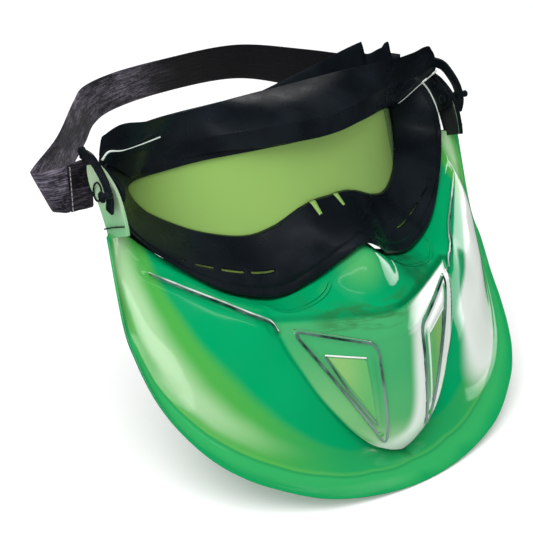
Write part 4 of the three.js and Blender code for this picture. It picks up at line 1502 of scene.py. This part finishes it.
def stitches(side):
    """An upright row of stitches across both faces of the sewn end."""
    along = 7.9
    parts = []
    for face in (1, -1):
        for z in np.arange(-9.6, 9.7, 2.4):
            path = [
                on_loop(side, along, face * (loop_half(along) + 0.16 * math.cos(k * 1.6)), z + k)
                for k in np.linspace(-0.9, 0.9, 7)
            ]
            parts.append(tube("stitch", np.array(path), 0.22, 8))
    return joined(sided("stitching", side), *parts)


# ---------- put together ----------

MATERIALS = {
    "black": moulded_black(),
    "soft": soft_black(),
    "lens": tinted_lens(),
    "shield": tinted_shield(),
    "pale": pale_lug(),
    "vent": slot_light_green(),
    "webbing": woven_webbing(),
    "webbing_dark": woven_webbing("woven_webbing_dark", 0.25),
    "thread": thread(),
    "shade_bead": shade_bead(),
    "ridge_glint": ridge_glint_bead(),
    "panel": panel_green(),
    "bead": highlight_white(),
}

piece(goggle_frame(), MATERIALS["black"], "goggle", "goggle_black", "goggle_frame")
piece(face_flange(), MATERIALS["black"], "goggle", "flange_rubber", "face_flange")
piece(lens_plate(), MATERIALS["lens"], "goggle", "lens_green", "lens")
piece(brow_cover(), MATERIALS["black"], "goggle", "goggle_black", "brow_cover")
piece(face_shield(), MATERIALS["shield"], "shield", "shield_green", "face_shield")
for name, side in SIDES.items():
    piece(vent_baffle(side), MATERIALS["vent"], "goggle", "goggle_black", f"vent_baffle_{name}")
    piece(outrigger(side), MATERIALS["black"], "goggle", "goggle_black", f"outrigger_{name}")
    piece(headband_pin(side), MATERIALS["black"], "goggle", "goggle_black", f"headband_pin_{name}")
    piece(breath_window(side), MATERIALS["shield"], "shield", "shield_green", f"breath_window_{name}")
    piece(shield_ear(side), MATERIALS["pale"], "shield", "ear_green", f"shield_ear_{name}")
    # Along the panel's raised line: the upper bead is a painted highlight, the lower one a painted shadow.
    piece(panel_bead(side, "panel_bead_light", 0, 0.4), MATERIALS["ridge_glint"], "shield", "shield_green")
    piece(panel_bead(side, "panel_bead_dark", 1.0, 0.5), MATERIALS["shade_bead"], "shield", "shield_green")
    piece(window_shade_bead(side), MATERIALS["shade_bead"], "shield", "shield_green")
    piece(window_panel(side), MATERIALS["panel"], "shield", "shield_green")
    # The panel's top line is a painted highlight, its long line painted shade.
    top_line = panel_line(side, "panel_top_line", (18.5, -61.5), (34.5, -58.9), 0)
    piece(top_line, MATERIALS["bead"], "shield", "shield_green")
    long_line = panel_line(side, "panel_long_line", (34.5, -59.5), (16.6, -94), -1.0)
    piece(long_line, MATERIALS["shade_bead"], "shield", "shield_green")
    piece(window_stud(side), MATERIALS["panel"], "shield", "shield_green")
    piece(brow_bead(side), MATERIALS["bead"], "goggle", "goggle_black")
    if side > 0:
        piece(side_bead(side), MATERIALS["bead"], "goggle", "goggle_black")
        piece(ear_hem(side), MATERIALS["black"], "shield", "ear_green")
    piece(ear_dark_sheet(side), MATERIALS["soft"], "shield", "ear_green")
    piece(pin_link(side), MATERIALS["black"], "headband", "goggle_black")
    piece(ear_seam(side), MATERIALS["black"], "shield", "ear_green")
    piece(ear_ring(side), MATERIALS["black"], "shield", "ear_green")
    piece(nose_notch(side), MATERIALS["lens"], "goggle", "lens_green")
    piece(strap_clip(side), MATERIALS["black"], "headband", "goggle_black", f"strap_clip_{name}")
    piece(hook_and_bar(side), MATERIALS["black"], "headband", "goggle_black")
    piece(strap_end(side), MATERIALS["webbing_dark"], "headband", "webbing", f"strap_end_{name}")
    piece(stitches(side), MATERIALS["thread"], "headband", "webbing")
band, band_length, band_width = webbing()
piece(band, MATERIALS["webbing"], "headband", "webbing", "strap_webbing")
paint(frame["nodes"]["strap_adjuster"], MATERIALS["black"])

# ---------- studio ----------

CAMERA = {"place": (-0.3234, -0.4489, 0.2385), "aim": (-0.0163, -0.0200, -0.0515), "lens": 85}


def look_at(obj, target):
    direction = Vector(target) - obj.location
    obj.rotation_euler = direction.to_track_quat("-Z", "Y").to_euler()


def camera():
    data = bpy.data.cameras.new("camera")
    data.lens = CAMERA["lens"]
    data.sensor_width = 36
    obj = bpy.data.objects.new("camera", data)
    bpy.context.scene.collection.objects.link(obj)
    obj.location = CAMERA["place"]
    look_at(obj, CAMERA["aim"])
    bpy.context.scene.camera = obj


def soft_light(name, place, target, size, power, glossy_only=False, only_on=()):
    """A rectangular soft light; glossy_only makes it a highlight card, which can be kept to some pieces."""
    data = bpy.data.lights.new(name, "AREA")
    data.energy = power
    data.shape = "RECTANGLE"
    data.size, data.size_y = size
    obj = bpy.data.objects.new(name, data)
    bpy.context.scene.collection.objects.link(obj)
    obj.location = place
    look_at(obj, target)
    obj.visible_camera = False
    if only_on:
        parts = bpy.data.collections.new(f"{name}_parts")
        for part in only_on:
            parts.objects.link(part)
        obj.light_linking.receiver_collection = parts
    if glossy_only:
        obj.visible_diffuse = False
        obj.visible_transmission = False
    return obj


def floor():
    """A white sheet just below the lowest point."""
    mesh = bpy.data.meshes.new("floor")
    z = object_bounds()[0][2] - 0.0006
    half = 3.0
    corners = [(-half, -half, z), (half, -half, z), (half, half, z), (-half, half, z)]
    mesh.from_pydata(corners, [], [(0, 1, 2, 3)])
    obj = bpy.data.objects.new("floor", mesh)
    bpy.context.scene.collection.objects.link(obj)
    glow = {"Emission_Color": (1, 1, 1, 1), "Emission_Strength": 0.12}
    paint(obj, material("floor_white", (0.95, 0.95, 0.95), 0.9, **glow))
    obj.visible_glossy = False
    obj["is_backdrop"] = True


def studio():
    """White surroundings, a large lamp overhead, and strips and cards that only show as reflections."""
    scene = bpy.context.scene
    world = bpy.data.worlds.new("studio")
    world.use_nodes = True
    world.node_tree.nodes["Background"].inputs["Color"].default_value = (1, 1, 1, 1)
    world.node_tree.nodes["Background"].inputs["Strength"].default_value = 0.72
    world.cycles_visibility.glossy = False
    scene.world = world
    scene.view_settings.view_transform = "Standard"
    green = [o for o in scene.objects if o.name.startswith(("shield_shell", "window_cover", "ear_lug"))]
    overhead = soft_light("overhead", (-0.55, -0.25, 1.25), (0, 0, 0), (1.2, 1.2), 14)
    overhead.visible_glossy = False
    for name, place, target, size, power, lit in (
        ("back_strip", (0.1, 0.9, 0.75), (0, 0, 0), (1.4, 0.12), 2.0, ()),
        ("front_strip", (-0.9, -0.5, 1.1), (0, 0, 0), (1.6, 0.10), 1.4, ()),
        ("left_card", (-0.8, -0.15, 0.0), (0, -0.05, -0.05), (0.6, 0.45), 3, green),
        ("right_card", (0.55, -0.12, -0.02), (0, -0.1, -0.06), (0.8, 0.16), 1.5, green),
    ):
        soft_light(name, place, target, size, power, glossy_only=True, only_on=lit)


camera()
floor()
studio()
